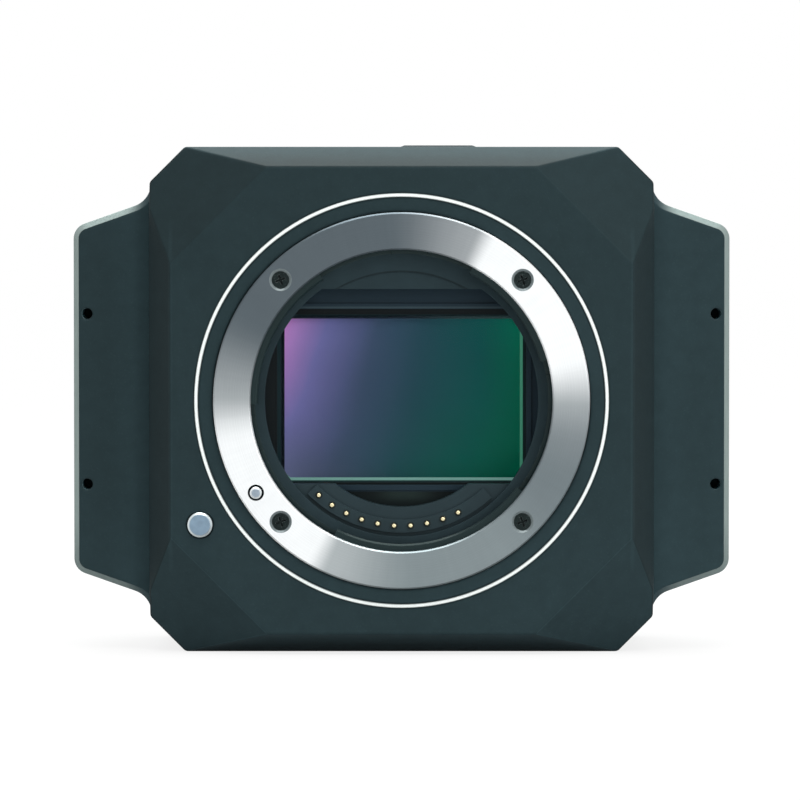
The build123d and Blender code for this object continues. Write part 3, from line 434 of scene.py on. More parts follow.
def painted_shell_light(finish):
    """Painted light and shade on the coat, as a factor on its colour: palest at the wings' roots, darkest on
    the side facets.
    """
    x, y, z = finish.axes()
    side = abs(x)
    sideways, _, upward = finish.facing()
    front = 1 - y.rise(9 * MM, 10 * MM)
    right = x.rise(0.0, 10 * MM)
    wing = side.rise(SHELL_SIDE, SHELL_SIDE + 0.3 * MM)
    wing = wing * y.rise(WING_FRONT - 0.4 * MM, WING_FRONT - 0.1 * MM)
    root = 1 - side.rise(41 * MM, 49 * MM)
    ridge = side.within(36.8 * MM, 37.4 * MM, 0.2 * MM) * (1 - abs(z).rise(26 * MM, 29 * MM)) * front
    facet = abs(sideways).rise(0.25, 0.5) * front
    corner = abs(sideways).rise(0.06, 0.12) * (1 - facet) * front
    lower = (-upward).rise(0.06, 0.12) * corner
    left = upward.rise(0.06, 0.12) * corner * (1 - x.rise(-10 * MM, 10 * MM))
    # painted light: the top facet paler towards its upper edge, darker towards its lower one
    top = upward.rise(0.3, 0.6) * front * (z.rise(SHELL_SIDE - 3.3 * MM, SHELL_SIDE - 0.1 * MM) * 0.9 - 0.35)
    low = (-z).rise(4 * MM, 36 * MM) * (1 - facet)
    radius, _ = finish.polar()
    # painted light: the band round the mount ring paler, more so lower down
    moat = radius.within(RING_EDGE - 0.4 * MM, RING_EDGE + 2.4 * MM, 0.2 * MM) * front
    # painted light: the wings paler at their roots and on the right, the side facets painted darker, a
    # painted highlight along the ridge
    thin = wing * (root * (0.6 - right * 0.25) + right * 0.18) - facet * 0.36 + ridge * 0.2
    # painted light and shade: the lower corner facets paler, the upper left one darker, the face paler lower
    # down and towards the right
    turned = lower * 0.38 - left * 0.13 + low * 0.2 + x.rise(-20 * MM, 30 * MM) * 0.06
    return thin + top + moat * (0.1 + low * 0.16) + turned + 1.0


def wing_bevel(finish):
    """The bevel round each wing, outside the shell and facing half forwards; its pale bare metal is partly a
    painted reflection, and fades lower down as painted shade.
    """
    x, y, z = finish.axes()
    _, towards, _ = finish.facing()
    bevel = towards.within(-0.9, -0.2, 0.06) * (1 - y.rise(WING_FRONT + 1.4 * MM, WING_FRONT + 1.7 * MM))
    reach = abs(x).rise(SHELL_SIDE + 0.3 * MM, SHELL_SIDE + 4.6 * MM)
    # painted shade: the pale bevel fades towards the bottom
    return bevel * reach * (0.55 + z.rise(-31 * MM, -17 * MM) * 0.45)


def black_steel(name):
    """Black screws with painted glints, rubbed bright where the driver and the rim wear them."""
    finish = Finish(name, 0.16, Metallic=0.3)
    cloud = finish.noise(0.5 * MM, 3)
    # painted highlight: small bright glints on the heads
    painted_glint = finish.noise(0.16 * MM, 2).rise(0.6, 0.72)
    base = finish.mix(cloud, tone(10, 20, 21), tone(26, 38, 38))
    base = finish.mix(painted_glint * 0.55, base, tone(96, 112, 108))
    base = finish.rub(base, 0.08 * MM, cloud.rise(0.35, 0.6) * 0.6, tone(150, 158, 160))
    return finish.made(base, 0.42 + cloud * 0.16, cloud, 0.01 * MM, 0.6, 0.05 * MM)


# Finishes of the mount


def turned_steel(name, settings):
    """Steel faced on a lathe: fine rings, two fans of painted reflection with painted shade between them,
    and painted light on its countersinks.
    """
    finish = Finish(name)
    radius, angle = finish.polar()
    _, _, z = finish.axes()
    _, towards, _ = finish.facing()
    # painted reflection and shade: the bright fans, a glow beside them, a paler lower half and a dark dip at
    # the lower right
    swing = (angle - settings.fan_angle).math("WRAP", pi / 2, -pi / 2)
    painted_fans = swing.rise(radians(-36), radians(-19)) * (1 - swing.rise(radians(25.5), radians(33)))
    painted_glow_near_fans = 1 - abs(swing).rise(radians(28), radians(62))
    painted_dark_dip = angle.rise(radians(-58), radians(-32)) * (1 - angle.rise(radians(-14), radians(4)))
    grey = finish.mix((-z / radius).rise(-0.55, 0.6), settings.dusk, settings.shade)
    grey = finish.mix(painted_glow_near_fans * 0.3, grey, settings.bright)
    grey = finish.mix(painted_dark_dip * 0.42, grey, settings.dusk)
    streak = finish.lines(angle, radians(2.6))
    mark = finish.lines(radius, settings.pitch)
    fine = finish.lines(radius + 10 * MM, settings.pitch * 0.31)
    cloud = finish.noise(5 * MM, 3)
    base = finish.mix(painted_fans, grey, settings.bright)
    grooved = 0.83 + mark * 0.2 - fine * 0.07 + cloud * 0.06 + streak * 0.07
    flat = (-towards).rise(0.9, 0.99)
    base = finish.tint(base, flat * grooved + (1 - flat) * 1.05)
    # painted light: the countersinks painted pale grey and less metallic
    painted_lit_countersinks = finish.spots(MOUNT_SCREW, 1.76 * MM, 1.82 * MM)
    base = finish.mix(painted_lit_countersinks, base, finish.mix(mark, tone(88, 100, 103), tone(134, 145, 147)))
    finish.set("Metallic", 1 - painted_lit_countersinks * 0.75)
    rough = 0.24 + mark * 0.1 + cloud * 0.06
    return finish.made(base, rough, mark * 0.6 + fine * 0.4, 0.006 * MM, 0.5, 0.08 * MM)


def gloss_black(name):
    """Black-plated claws, polished by lenses sliding over them."""
    finish = Finish(name, 0.25, Specular_Tint=(0.72, 1.0, 0.96), Coat_Weight=0.05)
    radius, _ = finish.polar()
    rub = finish.lines(radius, 0.3 * MM)
    cloud = finish.noise(2.2 * MM, 4)
    base = finish.mix(rub, tone(15, 27, 30), tone(26, 40, 43))
    base = finish.rub(base, 0.1 * MM, cloud.rise(0.4, 0.7) * 0.35, tone(118, 134, 134))
    return finish.made(base, 0.16 + rub * 0.1 + cloud * 0.08, rub, 0.004 * MM, 0.6, 0.12 * MM)


def enamel(name, settings):
    """White enamel of the inlaid ring, greyer in patches on its edges, with painted shadow on its inner and
    outer bevels.
    """
    finish = Finish(name, 0.4, Coat_Weight=0.2, Coat_Roughness=0.2)
    radius, _ = finish.polar()
    cloud = finish.noise(3 * MM, 4)
    greyer_edge_patches = finish.noise(1.1 * MM, 3).rise(0.3, 0.7)
    unshadowed_crown = radius.within(INLAY_EDGE - 0.52 * MM, INLAY_EDGE - 0.08 * MM, 0.12 * MM)
    base = finish.mix(cloud, scaled(settings.trim, 0.94), settings.trim)
    base = finish.rub(base, 0.07 * MM, greyer_edge_patches * 0.4, tone(150, 162, 160))
    # painted shadow: dark outside the crown, on the ring's inner and outer bevels
    base = finish.mix(unshadowed_crown, tone(66, 78, 80), base)
    height = cloud + finish.lines(radius, 0.1 * MM) * 0.3
    return finish.made(base, 0.3 + cloud * 0.14, height, 0.006 * MM, 0.6, 0.06 * MM)


def turned_cap(name, node, rim, bright, flat):
    """End of a small turned part: a bright rim round a greyer face."""
    finish = Finish(name, Metallic=0.9)
    low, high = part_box(node)
    centre, radius = middle(node), (high.x - low.x) / 2
    away, _ = finish.polar((centre.x, centre.z))
    rings = finish.lines(away, 0.06 * MM)
    cloud = finish.noise(0.6 * MM, 3)
    mottle = finish.noise(radius * 0.55, 3)
    edge = away.rise(radius - rim * 1.5, radius - rim * 0.7)
    base = finish.mix(edge, finish.tint(flat, 0.66 + rings * 0.2 + mottle * 0.5), bright)
    return finish.made(base, 0.24 + rings * 0.14 + cloud * 0.08, rings, 0.005 * MM, 0.7, 0.05 * MM)


def sprung_steel(name, colour, size=0.25 * MM, along=(1, 1, 0.08)):
    """Rolled or ground steel with fine marks along one direction."""
    finish = Finish(name, Metallic=1.0)
    mark = finish.noise(size, 4, finish.stretched(along))
    cloud = finish.noise(4 * MM, 3)
    base = finish.mix(mark * 0.6 + cloud * 0.4, scaled(colour, 0.78), colour)
    base = finish.rub(base, 0.06 * MM, 0.5, scaled(colour, 1.5))
    return finish.made(base, 0.28 + mark * 0.16 + cloud * 0.06, mark, 0.006 * MM, 0.7, 0.04 * MM)


# Finishes inside the mount


def flocked(name, colour):
    """Dead black moulding with a fine grain, a little paler on its edges, with a painted shadow line along
    its round step.
    """
    finish = Finish(name, 0.1)
    radius, _ = finish.polar()
    cloud = finish.noise(4 * MM, 4)
    base = finish.mix(cloud, scaled(colour, 0.8), scaled(colour, 1.25))
    step = 20.74 * MM
    # painted shadow: a dark line along the round step
    painted_step_shadow = radius.within(step - 0.12 * MM, step + 0.12 * MM, 0.06 * MM)
    base = finish.mix(painted_step_shadow * 0.65, base, scaled(colour, 0.25))
    base = finish.rub(base, 0.14 * MM, 0.35, scaled(colour, 2, 0.01))
    grain = finish.noise(0.18 * MM, 3)
    return finish.made(base, 0.56 + cloud * 0.12, grain, 0.012 * MM, 0.7, 0.1 * MM)


def contact_moulding(name, colour):
    """Black moulding that carries the contacts, darker in the ring of shadow round each of them."""
    finish = Finish(name, 0.12)
    radius, angle = finish.polar()
    first, last = middle(PINS[0]), middle(PINS[-1])
    start, count = atan2(first.z, first.x), len(PINS) - 1
    pitch = (atan2(last.z, last.x) - start) / count
    turn = (angle - start) / pitch
    nearest = turn.math("ROUND").larger(0.0).smaller(count)
    across = (turn - nearest) * radius * pitch
    along = radius - hypot(first.x, first.z)
    halo = 1 - ((across * across + along * along) ** 0.5).rise(0.38 * MM, 0.72 * MM)
    cloud = finish.noise(4 * MM, 4)
    base = finish.mix(cloud, scaled(colour, 0.85), scaled(colour, 1.15))
    base = finish.rub(base, 0.1 * MM, 0.3, scaled(colour, 2, 0.01))
    base = finish.mix(halo * 0.8, base, tone(24, 26, 22))
    return finish.made(base, 0.4 + cloud * 0.12, finish.noise(0.16 * MM, 3), 0.01 * MM, 0.6, 0.08 * MM)


def moulded(name, colour, rough, grain=0.3 * MM, specular=0.4):
    """Moulded plastic or rubber: fine grain, uneven gloss and paler rubbed edges."""
    finish = Finish(name, specular)
    edge = 0.1 * MM
    cloud = finish.noise(6 * MM, 4)
    skin = finish.noise(grain, 4)
    base = finish.mix(cloud, scaled(colour, 0.88), scaled(colour, 1.12))
    base = finish.rub(base, edge, skin.rise(0.3, 0.7) * 0.4, scaled(colour, 2.2, 0.02))
    return finish.made(base, (rough - 0.07) + cloud * 0.14, skin, 0.008 * MM, 0.7, edge)


def plated(name, colour, rough=0.22):
    """Plated contact metal with small pits and wiping marks."""
    finish = Finish(name, Metallic=1.0)
    wipe = finish.noise(0.12 * MM, 3, finish.stretched((1, 0.25, 1)))
    pit = finish.cells(0.22 * MM).rise(0.02, 0.14)
    base = finish.mix(wipe, scaled(colour, 0.82), colour)
    base = finish.mix(1 - pit, base, scaled(colour, 0.5))
    return finish.made(base, rough + wipe * 0.16, pit * 0.5 + wipe * 0.5, 0.004 * MM, 0.6, 0.05 * MM)


def rolled(finish, colour, dark):
    """Colour and marks of rolled sheet, and how far its edges are worn."""
    roll = finish.noise(0.22 * MM, 4, finish.stretched((0.1, 1, 1)))
    cloud = finish.noise(5 * MM, 3)
    base = finish.mix(roll * 0.6 + cloud * 0.4, scaled(colour, dark), scaled(colour, 1.2))
    return base, roll, cloud.rise(0.3, 0.6) * 0.5


def anodised(name, colour, metallic=0.1, rough=0.42):
    """Thin blackened sheet, with rolling marks and bare metal at its cut edges."""
    finish = Finish(name, 0.14, Metallic=metallic)
    base, roll, worn = rolled(finish, colour, 0.8)
    base = finish.rub(base, 0.07 * MM, worn, scaled(colour, 2.4, 0.02))
    return finish.made(base, rough + roll * 0.12, roll, 0.004 * MM, 0.6, 0.05 * MM)


def framed_sheet(name, colour):
    """The shutter's front plate: a blue-black frame with a painted highlight along its top lip, and painted
    shade below it, darkest to the sides of a painted sheen in its middle.
    """
    finish = Finish(name, 0.14, Metallic=0.1)
    x, y, z = finish.axes()
    base, roll, worn = rolled(finish, colour, 0.85)
    below, rim, face = -15.05 * MM, 14.87 * MM, 9.9 * MM
    # painted shade below the frame, with a painted sheen in its middle
    painted_sheen = (1 - abs(x - 0.6 * MM).rise(1 * MM, 6 * MM)) * z.rise(below - 2.15 * MM, below - 0.15 * MM)
    painted_shade_below = finish.mix(painted_sheen, tone(8, 20, 21), tone(32, 47, 45))
    base = finish.mix(1 - z.rise(below - 0.1 * MM, below + 0.1 * MM), base, painted_shade_below)
    # painted highlight along the lip at the top of the window
    painted_lip_highlight = z.within(rim - 0.15 * MM, rim + 0.15 * MM, 0.12 * MM) * (1 - y.rise(face, face + 0.1 * MM))
    base = finish.mix(painted_lip_highlight * 0.55, base, tone(66, 84, 90))
    base = finish.rub(base, 0.09 * MM, worn, scaled(colour, 2.4, 0.02))
    return finish.made(base, 0.42 + roll * 0.12, roll, 0.004 * MM, 0.6, 0.05 * MM)


# Finishes of the sensor


def chip_face(name, settings):
    """Microlenses over the chip: a painted sheen of reflection that turns from violet through slate to
    green, made paler towards the sides and corners against the shade there.
    """
    finish = Finish(name, 0.03)
    low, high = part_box("sensor_die")
    wide, tall = high.x - low.x - 0.8 * MM, high.z - low.z - 1 * MM
    x, _, z = finish.axes()
    across, down = x / wide + 0.5, 0.5 - z / tall
    drift = finish.noise(13 * MM, 1) * 0.06 - 0.03
    # painted reflection: the microlenses' sheen, fixed into the colour
    painted_sheen = finish.ramp(across + down * (1 - across) * 0.28 + drift, [
        (0.0, settings.warm), (0.2, tone(102, 100, 152)), (0.42, tone(62, 78, 104)),
        (0.62, settings.middle), (0.84, tone(20, 84, 82)), (1.0, settings.cool)])
    painted_sheen = finish.mix((across * down).rise(0.15, 1.0) * 0.7, painted_sheen, settings.cool)
    painted_sheen = finish.mix(((1 - across) * down).rise(0.5, 1.0) * 0.6, painted_sheen, tone(76, 84, 102))
    lens = finish.cells(0.05 * MM)
    # painted light: paler towards the sides and corners, to make up for the shade that falls there
    sideways, upright = across * 2 - 1, down * 2 - 1
    fall = 0.75 - sideways * sideways * 0.36 - upright * upright * 0.14
    base = finish.tint(painted_sheen, (0.97 + lens * 0.1) / fall.larger(0.3))
    return finish.made(base, 0.22 + drift * 2, lens, 0.001 * MM, 0.4)


def coated_glass(name, settings):
    """Clear window whose ground bevel carries a painted pale green glow, strongest along its bottom, less
    along its right and least along its top.
    """
    finish = Finish(name, 0.1, Emission_Strength=0.5)
    x, _, _ = finish.axes()
    _, towards, up = finish.facing()
    face = abs(towards).rise(0.9, 0.98)
    bevel = 1 - face
    cloud = finish.noise(6 * MM, 3)
    ground = finish.noise(0.25 * MM, 3)
    right_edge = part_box("filter_glass")[1].x - 0.7 * MM
    right = x.rise(right_edge, right_edge + 0.2 * MM)
    top = up.rise(0.2, 0.5) * x.rise(-4 * MM, 14 * MM)
    # painted glow: light on the bevel, given as emission and a paler, more opaque colour
    glow = (-up).rise(0.2, 0.5).larger(right * 0.75).larger(top * 0.3)
    edge = finish.mix(glow, tone(62, 62, 82), finish.mix(right, settings.bevel, tone(96, 200, 160)))
    edge = finish.tint(edge, 0.86 + ground * 0.24)
    finish.set("Emission Color", finish.tint(edge, bevel * glow))
    finish.set("Alpha", face * (0.05 + cloud * 0.03) + bevel * (0.45 + glow * 0.5))
    base = finish.mix(face, edge, finish.mix(cloud, tone(30, 60, 70), tone(40, 68, 76)))
    return finish.made(base, face * (0.05 + cloud * 0.05) + bevel * 0.4, ground, 0.002 * MM, 0.3)


def circuit_board(name):
    """Green solder mask over tracks, with small through-plated holes."""
    finish = Finish(name)
    x, _, z = finish.axes()
    flat = finish.node("CombineXYZ", None, {"X": x, "Y": z, "Z": 0.0})
    bricks = {"Vector": flat, "Scale": 260.0, "Mortar Size": 0.05, "Brick Width": 1.7, "Row Height": 0.22}
    track = finish.node("TexBrick", {"offset": 0.37, "squash": 1.6}, bricks, "Fac")
    hole = finish.cells(1.9 * MM, flat).rise(0.08, 0.11)
    cloud = finish.noise(3 * MM, 3)
    base = finish.mix(cloud, tone(16, 70, 46), tone(24, 88, 58))
    base = finish.mix(track * 0.55, base, tone(46, 122, 82))
    base = finish.mix(hole, tone(196, 170, 110), base)
    finish.set("Metallic", (1 - hole) * 0.8)
    return finish.made(base, 0.3 + cloud * 0.14, track * 0.6 + hole * 0.4, 0.03 * MM, 0.7, 0.08 * MM)


def lamp_lens(name):
    """Milky green light pipe."""
    finish = Finish(name, Subsurface_Weight=0.2, Subsurface_Scale=0.8 * MM)
    milk = tone(176, 214, 186)
    cloud = finish.noise(1 * MM, 4)
    base = finish.mix(cloud, scaled(milk, 0.92), scaled(milk, 1.08))
    return finish.made(base, 0.15 + cloud * 0.1, cloud, 0.004 * MM, 0.5, 0.1 * MM)


def ribbon_film(name):
    """Amber film with copper tracks running along it."""
    finish = Finish(name)
    x, _, _ = finish.axes()
    track = (x * (2 * pi / (0.5 * MM))).math("SINE").rise(-0.1, 0.2)
    cloud = finish.noise(2.4 * MM, 3)
    base = finish.mix(track, tone(120, 66, 20), tone(196, 118, 46))
    base = finish.tint(base, 0.85 + cloud * 0.3)
    return finish.made(base, 0.26 + cloud * 0.16, track, 0.02 * MM, 0.5)


# Small pieces


def block(form, low, high, bevel, index=0):
    """A box between two corners, with rounded edges."""
    before = set(form.faces)
    corners = bmesh.ops.create_cube(form, size=1)["verts"]
    for corner in corners:
        corner.co = Vector([a + (c + 0.5) * (b - a) for a, b, c in zip(low, high, corner.co)])
    edges = list({edge for corner in corners for edge in corner.link_edges})
    bmesh.ops.bevel(form, geom=edges, offset=bevel, segments=2, profile=0.6, affect="EDGES")
    for face in form.faces:
        if face not in before:
            face.material_index = index


def swept(form, path, outline):
    """A skin along a path; outline gives each ring's corners from its point and its number."""
    rings = [[form.verts.new(corner) for corner in outline(point, number)]
             for number, point in enumerate(path)]
    for first, second in zip(rings, rings[1:]):
        for a, b, c, d in zip(first, first[1:] + first[:1], second[1:] + second[:1], second):
            form.faces.new((a, b, c, d))
    form.faces.new(rings[0][::-1])
    form.faces.new(rings[-1])


def add_piece(name, form, materials, body="camera_body"):
    """Turn a finished form into an object that moves with a body, or with none yet."""
    bmesh.ops.recalc_face_normals(form, faces=form.faces)
    mesh = bpy.data.meshes.new(name)
    form.to_mesh(mesh)
    form.free()
    mesh.shade_smooth()
    mesh.set_sharp_from_angle(angle=radians(35))
    for material in materials:
        mesh.materials.append(material)
    made = bpy.data.objects.new(name, mesh)
    bpy.context.scene.collection.objects.link(made)
    if body:
        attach(made, body)
    return made


def coil(form, x, z, front, back, wire):
    """A return spring along Y, four turns between its flat ends."""
    radius, turns, flat, steps = 1.2 * MM, 5, 0.1, 150
    path = []
    for step in range(steps + 1):
        turn = 2 * pi * turns * step / steps
        climb = min(1.0, max(0.0, (step / steps - flat) / (1 - 2 * flat)))
        y = front + (back - front) * climb
        path.append(Vector((x + radius * cos(turn), y, z + radius * sin(turn))))

    def section(point, _):
        out = Vector((point.x - x, 0, point.z - z)).normalized()
        spins = [2 * pi * corner / 8 for corner in range(8)]
        return [point + out * cos(spin) * wire + Vector((0, sin(spin) * wire, 0)) for spin in spins]

    swept(form, path, section)


def comb_spine(form, low, high):
    """The flat arc that the contact fingers spring from, cut level where the window begins."""
    end, steps = radians(300.6), 60

    def arc(radius):
        start = pi + asin(-high.z / radius)
        turns = [start + (end - start) * step / steps for step in range(steps + 1)]
        return [(radius * cos(turn), radius * sin(turn)) for turn in turns]

    def section(pair, _):
        inner, outer = pair
        corners = ((inner, low.y), (outer, low.y), (outer, high.y), (inner, high.y))
        return [Vector((x, y, z)) for (x, z), y in corners]

    swept(form, list(zip(arc(COMB_INNER), arc(COMB_OUTER))), section)


def comb_finger(form, pin, low, high):
    """One finger of the comb, from its spine out to behind a contact."""
    out = Vector((pin.x, 0, pin.z)).normalized()
    across = Vector((-out.z, 0, out.x))
    root, tip, steps = 18.45, 20.7, 12
    root_half, taper, tip_half = 0.4, 0.1, 0.18
    reaches = [root + (tip - root) * step / steps for step in range(steps + 1)]
    halves = [root_half - taper * step / steps for step in range(steps)] + [tip_half]
    front, back = Vector((0, low.y, 0)), Vector((0, high.y, 0))

    def section(reach, number):
        spot, half = out * reach * MM, across * halves[number] * MM
        return [spot - half + front, spot + half + front, spot + half + back, spot - half + back]

    swept(form, reaches, section)


def tongue_contacts(form, port, pitch):
    """Gold strips on both faces of a flat socket's tongue."""
    low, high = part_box(port)
    root, tip, half, covered = high.y - 4.6 * MM, high.y - 0.75 * MM, pitch * 0.27, 0.62
    count = int((high.x - low.x) * covered / pitch)
    for number in range(count):
        x = middle(port).x + (number - (count - 1) / 2) * pitch
        for side in (-1, 1):
            under, over = sorted(middle(port).z + side * gap for gap in (0.36 * MM, 0.41 * MM))
            block(form, (x - half, root, under), (x + half, tip, over), 0.015 * MM)


def bond_wires(form, count, radius):
    """Looped wires from the chip's short sides down to its package."""
    low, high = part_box("sensor_die")
    corners = [Vector((0, cos(turn), sin(turn))) * radius for turn in (0, 2.1, 4.2)]
    loop, fall, reach, inset, steps = 0.22 * MM, 0.44 * MM, 0.95 * MM, 0.2 * MM, 8
    for side, edge in ((-1, low.x), (1, high.x)):
        for number in range(count):
            z = low.z + (number + 0.7) * (high.z - low.z) / (count + 0.4)
            path = []
            for share in (step / steps for step in range(steps + 1)):
                rise = loop * sin(pi * min(1.0, share * 1.4)) if share < 0.72 else 0.0
                drop = fall * max(0.0, share - 0.3) / 0.7
                x, y = edge + side * (share * reach - inset), low.y - 0.02 * MM - rise + drop
                path.append(Vector((x, y, z)))
            swept(form, path, lambda point, _: [point + corner for corner in corners])


def ribbon_path(start, end):
    """From inside one connector to inside the other, in an S."""
    steps = 24
    path = []
    for share in (step / steps for step in range(steps + 1)):
        point = start.lerp(end, share)
        point.y = start.y + (end.y - start.y) * share * share * (3 - 2 * share)
        path.append(point)
    return path


def ribbon_end(form, seat, side):
    """Low connector with an open mouth and a latch; side is the way that it stands off its board."""
    half = 4.3
    parts = (
        ((-half, 0.0, -1.5), (half, 0.3, 1.5), 1),
        ((-half, 0.3, -1.5), (0.7 - half, 1.0, 1.5), 1),
        ((half - 0.7, 0.3, -1.5), (half, 1.0, 1.5), 1),
        ((0.72 - half, 0.72, -1.3), (half - 0.72, 1.02, 0.9), 2))
    for low, high, index in parts:
        sides = list(zip(*(seat + Vector((x, side * y, z)) * MM for x, y, z in (low, high))))
        block(form, [min(pair) for pair in sides], [max(pair) for pair in sides], 0.08 * MM, index)


def chip_capacitor(form, x, y, z, upright):
    """Small ceramic part with a tinned cap at each end, standing on the face at y."""
    half, wide, tall, cap, proud = 0.8 * MM, 0.4 * MM, 0.75 * MM, 0.27 * MM, 0.02 * MM

    def part(start, end, wide, tall, bevel, index):
        if upright:
            low, high = (x - wide, y, z + start), (x + wide, y + tall, z + end)
        else:
            low, high = (x + start, y, z - wide), (x + end, y + tall, z + wide)
        block(form, low, high, bevel, index)

    inner = half - cap * 0.6
    part(-inner, inner, wide, tall - 0.03 * MM, 0.05 * MM, 0)
    part(-half - proud, cap + proud - half, wide + proud, tall, 0.07 * MM, 1)
    part(half - cap - proud, half + proud, wide + proud, tall, 0.07 * MM, 1)


# Operators


def dress(nodes, material):
    """Give carried-over solids their finish; nodes is one name or a list."""
    for name in [nodes] if isinstance(nodes, str) else nodes:
        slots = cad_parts[name].data.materials
        slots.clear()
        slots.append(material)


class CAMERA_OT_dress_shell(Operator):
    """Paint the shell, the rear cover and their screws"""

    bl_idname = "camera_finish.dress_shell"
    bl_label = "Paint the shell"

    def execute(self, context):
        coat = context.scene.finish_coat
        dress("front_housing", painted("shell_paint", coat, wings=True))
        dress("rear_cover", painted("cover_paint", coat))
        dress(["cover_screws", "mount_screws"], black_steel("blackened_screws"))
        dress("rear_gasket", moulded("gasket_rubber", tone(24, 26, 28), 0.7))
        dress("port_flap", moulded("flap_rubber", tone(30, 43, 47), 0.6, 0.16 * MM, specular=0.14))
        return {"FINISHED"}


class CAMERA_OT_dress_mount(Operator):
    """Finish the steel ring, the claws, the white inlay and the release"""

    bl_idname = "camera_finish.dress_mount"
    bl_label = "Finish the lens mount"

    def execute(self, context):
        mount = context.scene.finish_mount
        dress("mount_ring", turned_steel("turned_steel", mount))
        dress("claw_ring", gloss_black("black_claws"))
        dress("trim_ring", enamel("white_enamel", mount))
        dress("mount_spring", gloss_black("blackened_leaf"))
        dress("release_plate", sprung_steel("plate_steel", tone(150, 156, 160)))
        pin = turned_cap("pin_steel", "lock_pin", 0.25 * MM, tone(236, 242, 244), tone(150, 164, 176))
        dress("lock_pin", pin)
        button = turned_cap(
            "button_metal", "release_button", 0.28 * MM, tone(226, 236, 238), tone(126, 148, 166))
        dress("release_button", button)
        return {"FINISHED"}


class CAMERA_OT_dress_throat(Operator):
    """Finish the baffle, the contact block and the contacts"""

    bl_idname = "camera_finish.dress_throat"
    bl_label = "Finish the throat"

    def execute(self, context):
        throat = context.scene.finish_throat
        dress("throat_baffle", flocked("baffle_black", throat.baffle))
        dress("contact_block", contact_moulding("contact_moulding", throat.baffle))
        dress(PINS, plated("contact_gold", throat.gold))
        return {"FINISHED"}


class CAMERA_OT_dress_shutter(Operator):
    """Finish the shutter's plates, blades, arms and drive"""

    bl_idname = "camera_finish.dress_shutter"
    bl_label = "Finish the shutter"

    def execute(self, context):
        throat = context.scene.finish_throat
        dress("shutter_base_plate", framed_sheet("shutter_frame", throat.plate))
        dress(["shutter_separator", "shutter_cover_plate"], anodised("shutter_sheet", tone(16, 24, 27)))
        blades = [f"{side}_blade_{i}" for side in ("lower", "upper") for i in range(1, 5)]
        dress(blades, anodised("blade_coat", tone(18, 22, 24), rough=0.55))
        arms = [f"{side}_{arm}_arm" for side in ("lower", "upper") for arm in ("main", "link")]
        dress(arms, sprung_steel("arm_steel", tone(132, 136, 140), 0.2 * MM, (0.3, 1, 1)))
        dress("shutter_drive", moulded("drive_black", tone(28, 30, 33), 0.4))
        return {"FINISHED"}


class CAMERA_OT_dress_sensor(Operator):
    """Finish the chip, its window, its surround and its carrier"""

    bl_idname = "camera_finish.dress_sensor"
    bl_label = "Finish the sensor"

    def execute(self, context):
        sensor = context.scene.finish_sensor
        dress("sensor_die", chip_face("chip_face", sensor))
        dress("filter_glass", coated_glass("coated_glass", sensor))
        dress("sensor_mask", moulded("surround_black", tone(21, 43, 48), 0.5, 0.15 * MM, specular=0.12))
        dress("sensor_package", moulded("dark_ceramic", tone(62, 62, 70), 0.6, 0.2 * MM))
        dress("sensor_carrier", sprung_steel("milled_carrier", tone(176, 180, 184), 0.3 * MM))
        dress("thermal_pad", moulded("heat_pad", tone(150, 156, 162), 0.75, 0.2 * MM))
        return {"FINISHED"}


class CAMERA_OT_dress_boards(Operator):
    """Finish the boards, their chips, the sockets, the button and the lamp"""

    bl_idname = "camera_finish.dress_boards"
    bl_label = "Finish the boards and sockets"

    def execute(self, context):
        dress(["main_board", "sensor_board"], circuit_board("solder_mask"))
        dress("board_chips", moulded("moulded_chips", tone(30, 31, 33), 0.5, 0.1 * MM))
        dress("internal_screws", sprung_steel("plain_screws", tone(178, 180, 182)))
        shells = sprung_steel("plated_shells", tone(176, 178, 180))
        dress(["usb_port", "hdmi_port", "card_socket"], shells)
        dress("io_connector", anodised("black_chrome", tone(52, 56, 60), 0.6, 0.3))
        dress("power_button", moulded("button_black", tone(30, 33, 36), 0.42, 0.12 * MM))
        dress("status_light", lamp_lens("light_pipe"))
        return {"FINISHED"}


class CAMERA_OT_add_return_springs(Operator):
    """Wind the two springs that push the release forwards"""

    bl_idname = "camera_finish.add_return_springs"
    bl_label = "Add the return springs"

    def execute(self, context):
        wire = context.scene.finish_detail.spring_wire
        low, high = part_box("release_springs")
        form = bmesh.new()
        for node in ("lock_pin", "release_button"):
            axis = middle(node)
            coil(form, axis.x, axis.z, low.y + wire, high.y - wire, wire)
        steel = sprung_steel("spring_wire", tone(158, 164, 168))
        made = add_piece("return_springs", form, [steel])
        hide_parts("release_springs")
        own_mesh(made)
        return {"FINISHED"}


class CAMERA_OT_add_contact_springs(Operator):
    """Cut the bronze comb behind the contacts"""

    bl_idname = "camera_finish.add_contact_springs"
    bl_label = "Add the contact springs"

    def execute(self, context):
        bronze = plated("spring_bronze", tone(190, 140, 88), 0.3)
        low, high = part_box("contact_comb")
        form = bmesh.new()
        comb_spine(form, low, high)
        made = add_piece("comb_spine", form, [bronze])
        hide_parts("contact_comb")
        for pin in PINS:
            axis = middle(pin)
            form = bmesh.new()
            comb_finger(form, axis, low, high)
            name = pin.replace("contact_pin", "comb_finger")
            made = add_piece(name, form, [bronze], None)
            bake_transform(made)
        return {"FINISHED"}


class CAMERA_OT_add_contacts(Operator):
    """Lay the gold contacts on the tongues of the flat sockets"""

    bl_idname = "camera_finish.add_contacts"
    bl_label = "Add the socket contacts"

    def execute(self, context):
        pitch = context.scene.finish_detail.contact_pitch
        gold = plated("socket_gold", tone(232, 196, 120))
        for port in ("usb_port", "hdmi_port"):
            form = bmesh.new()
            tongue_contacts(form, port, pitch)
            add_piece(f"{port}_contacts", form, [gold])
        return {"FINISHED"}


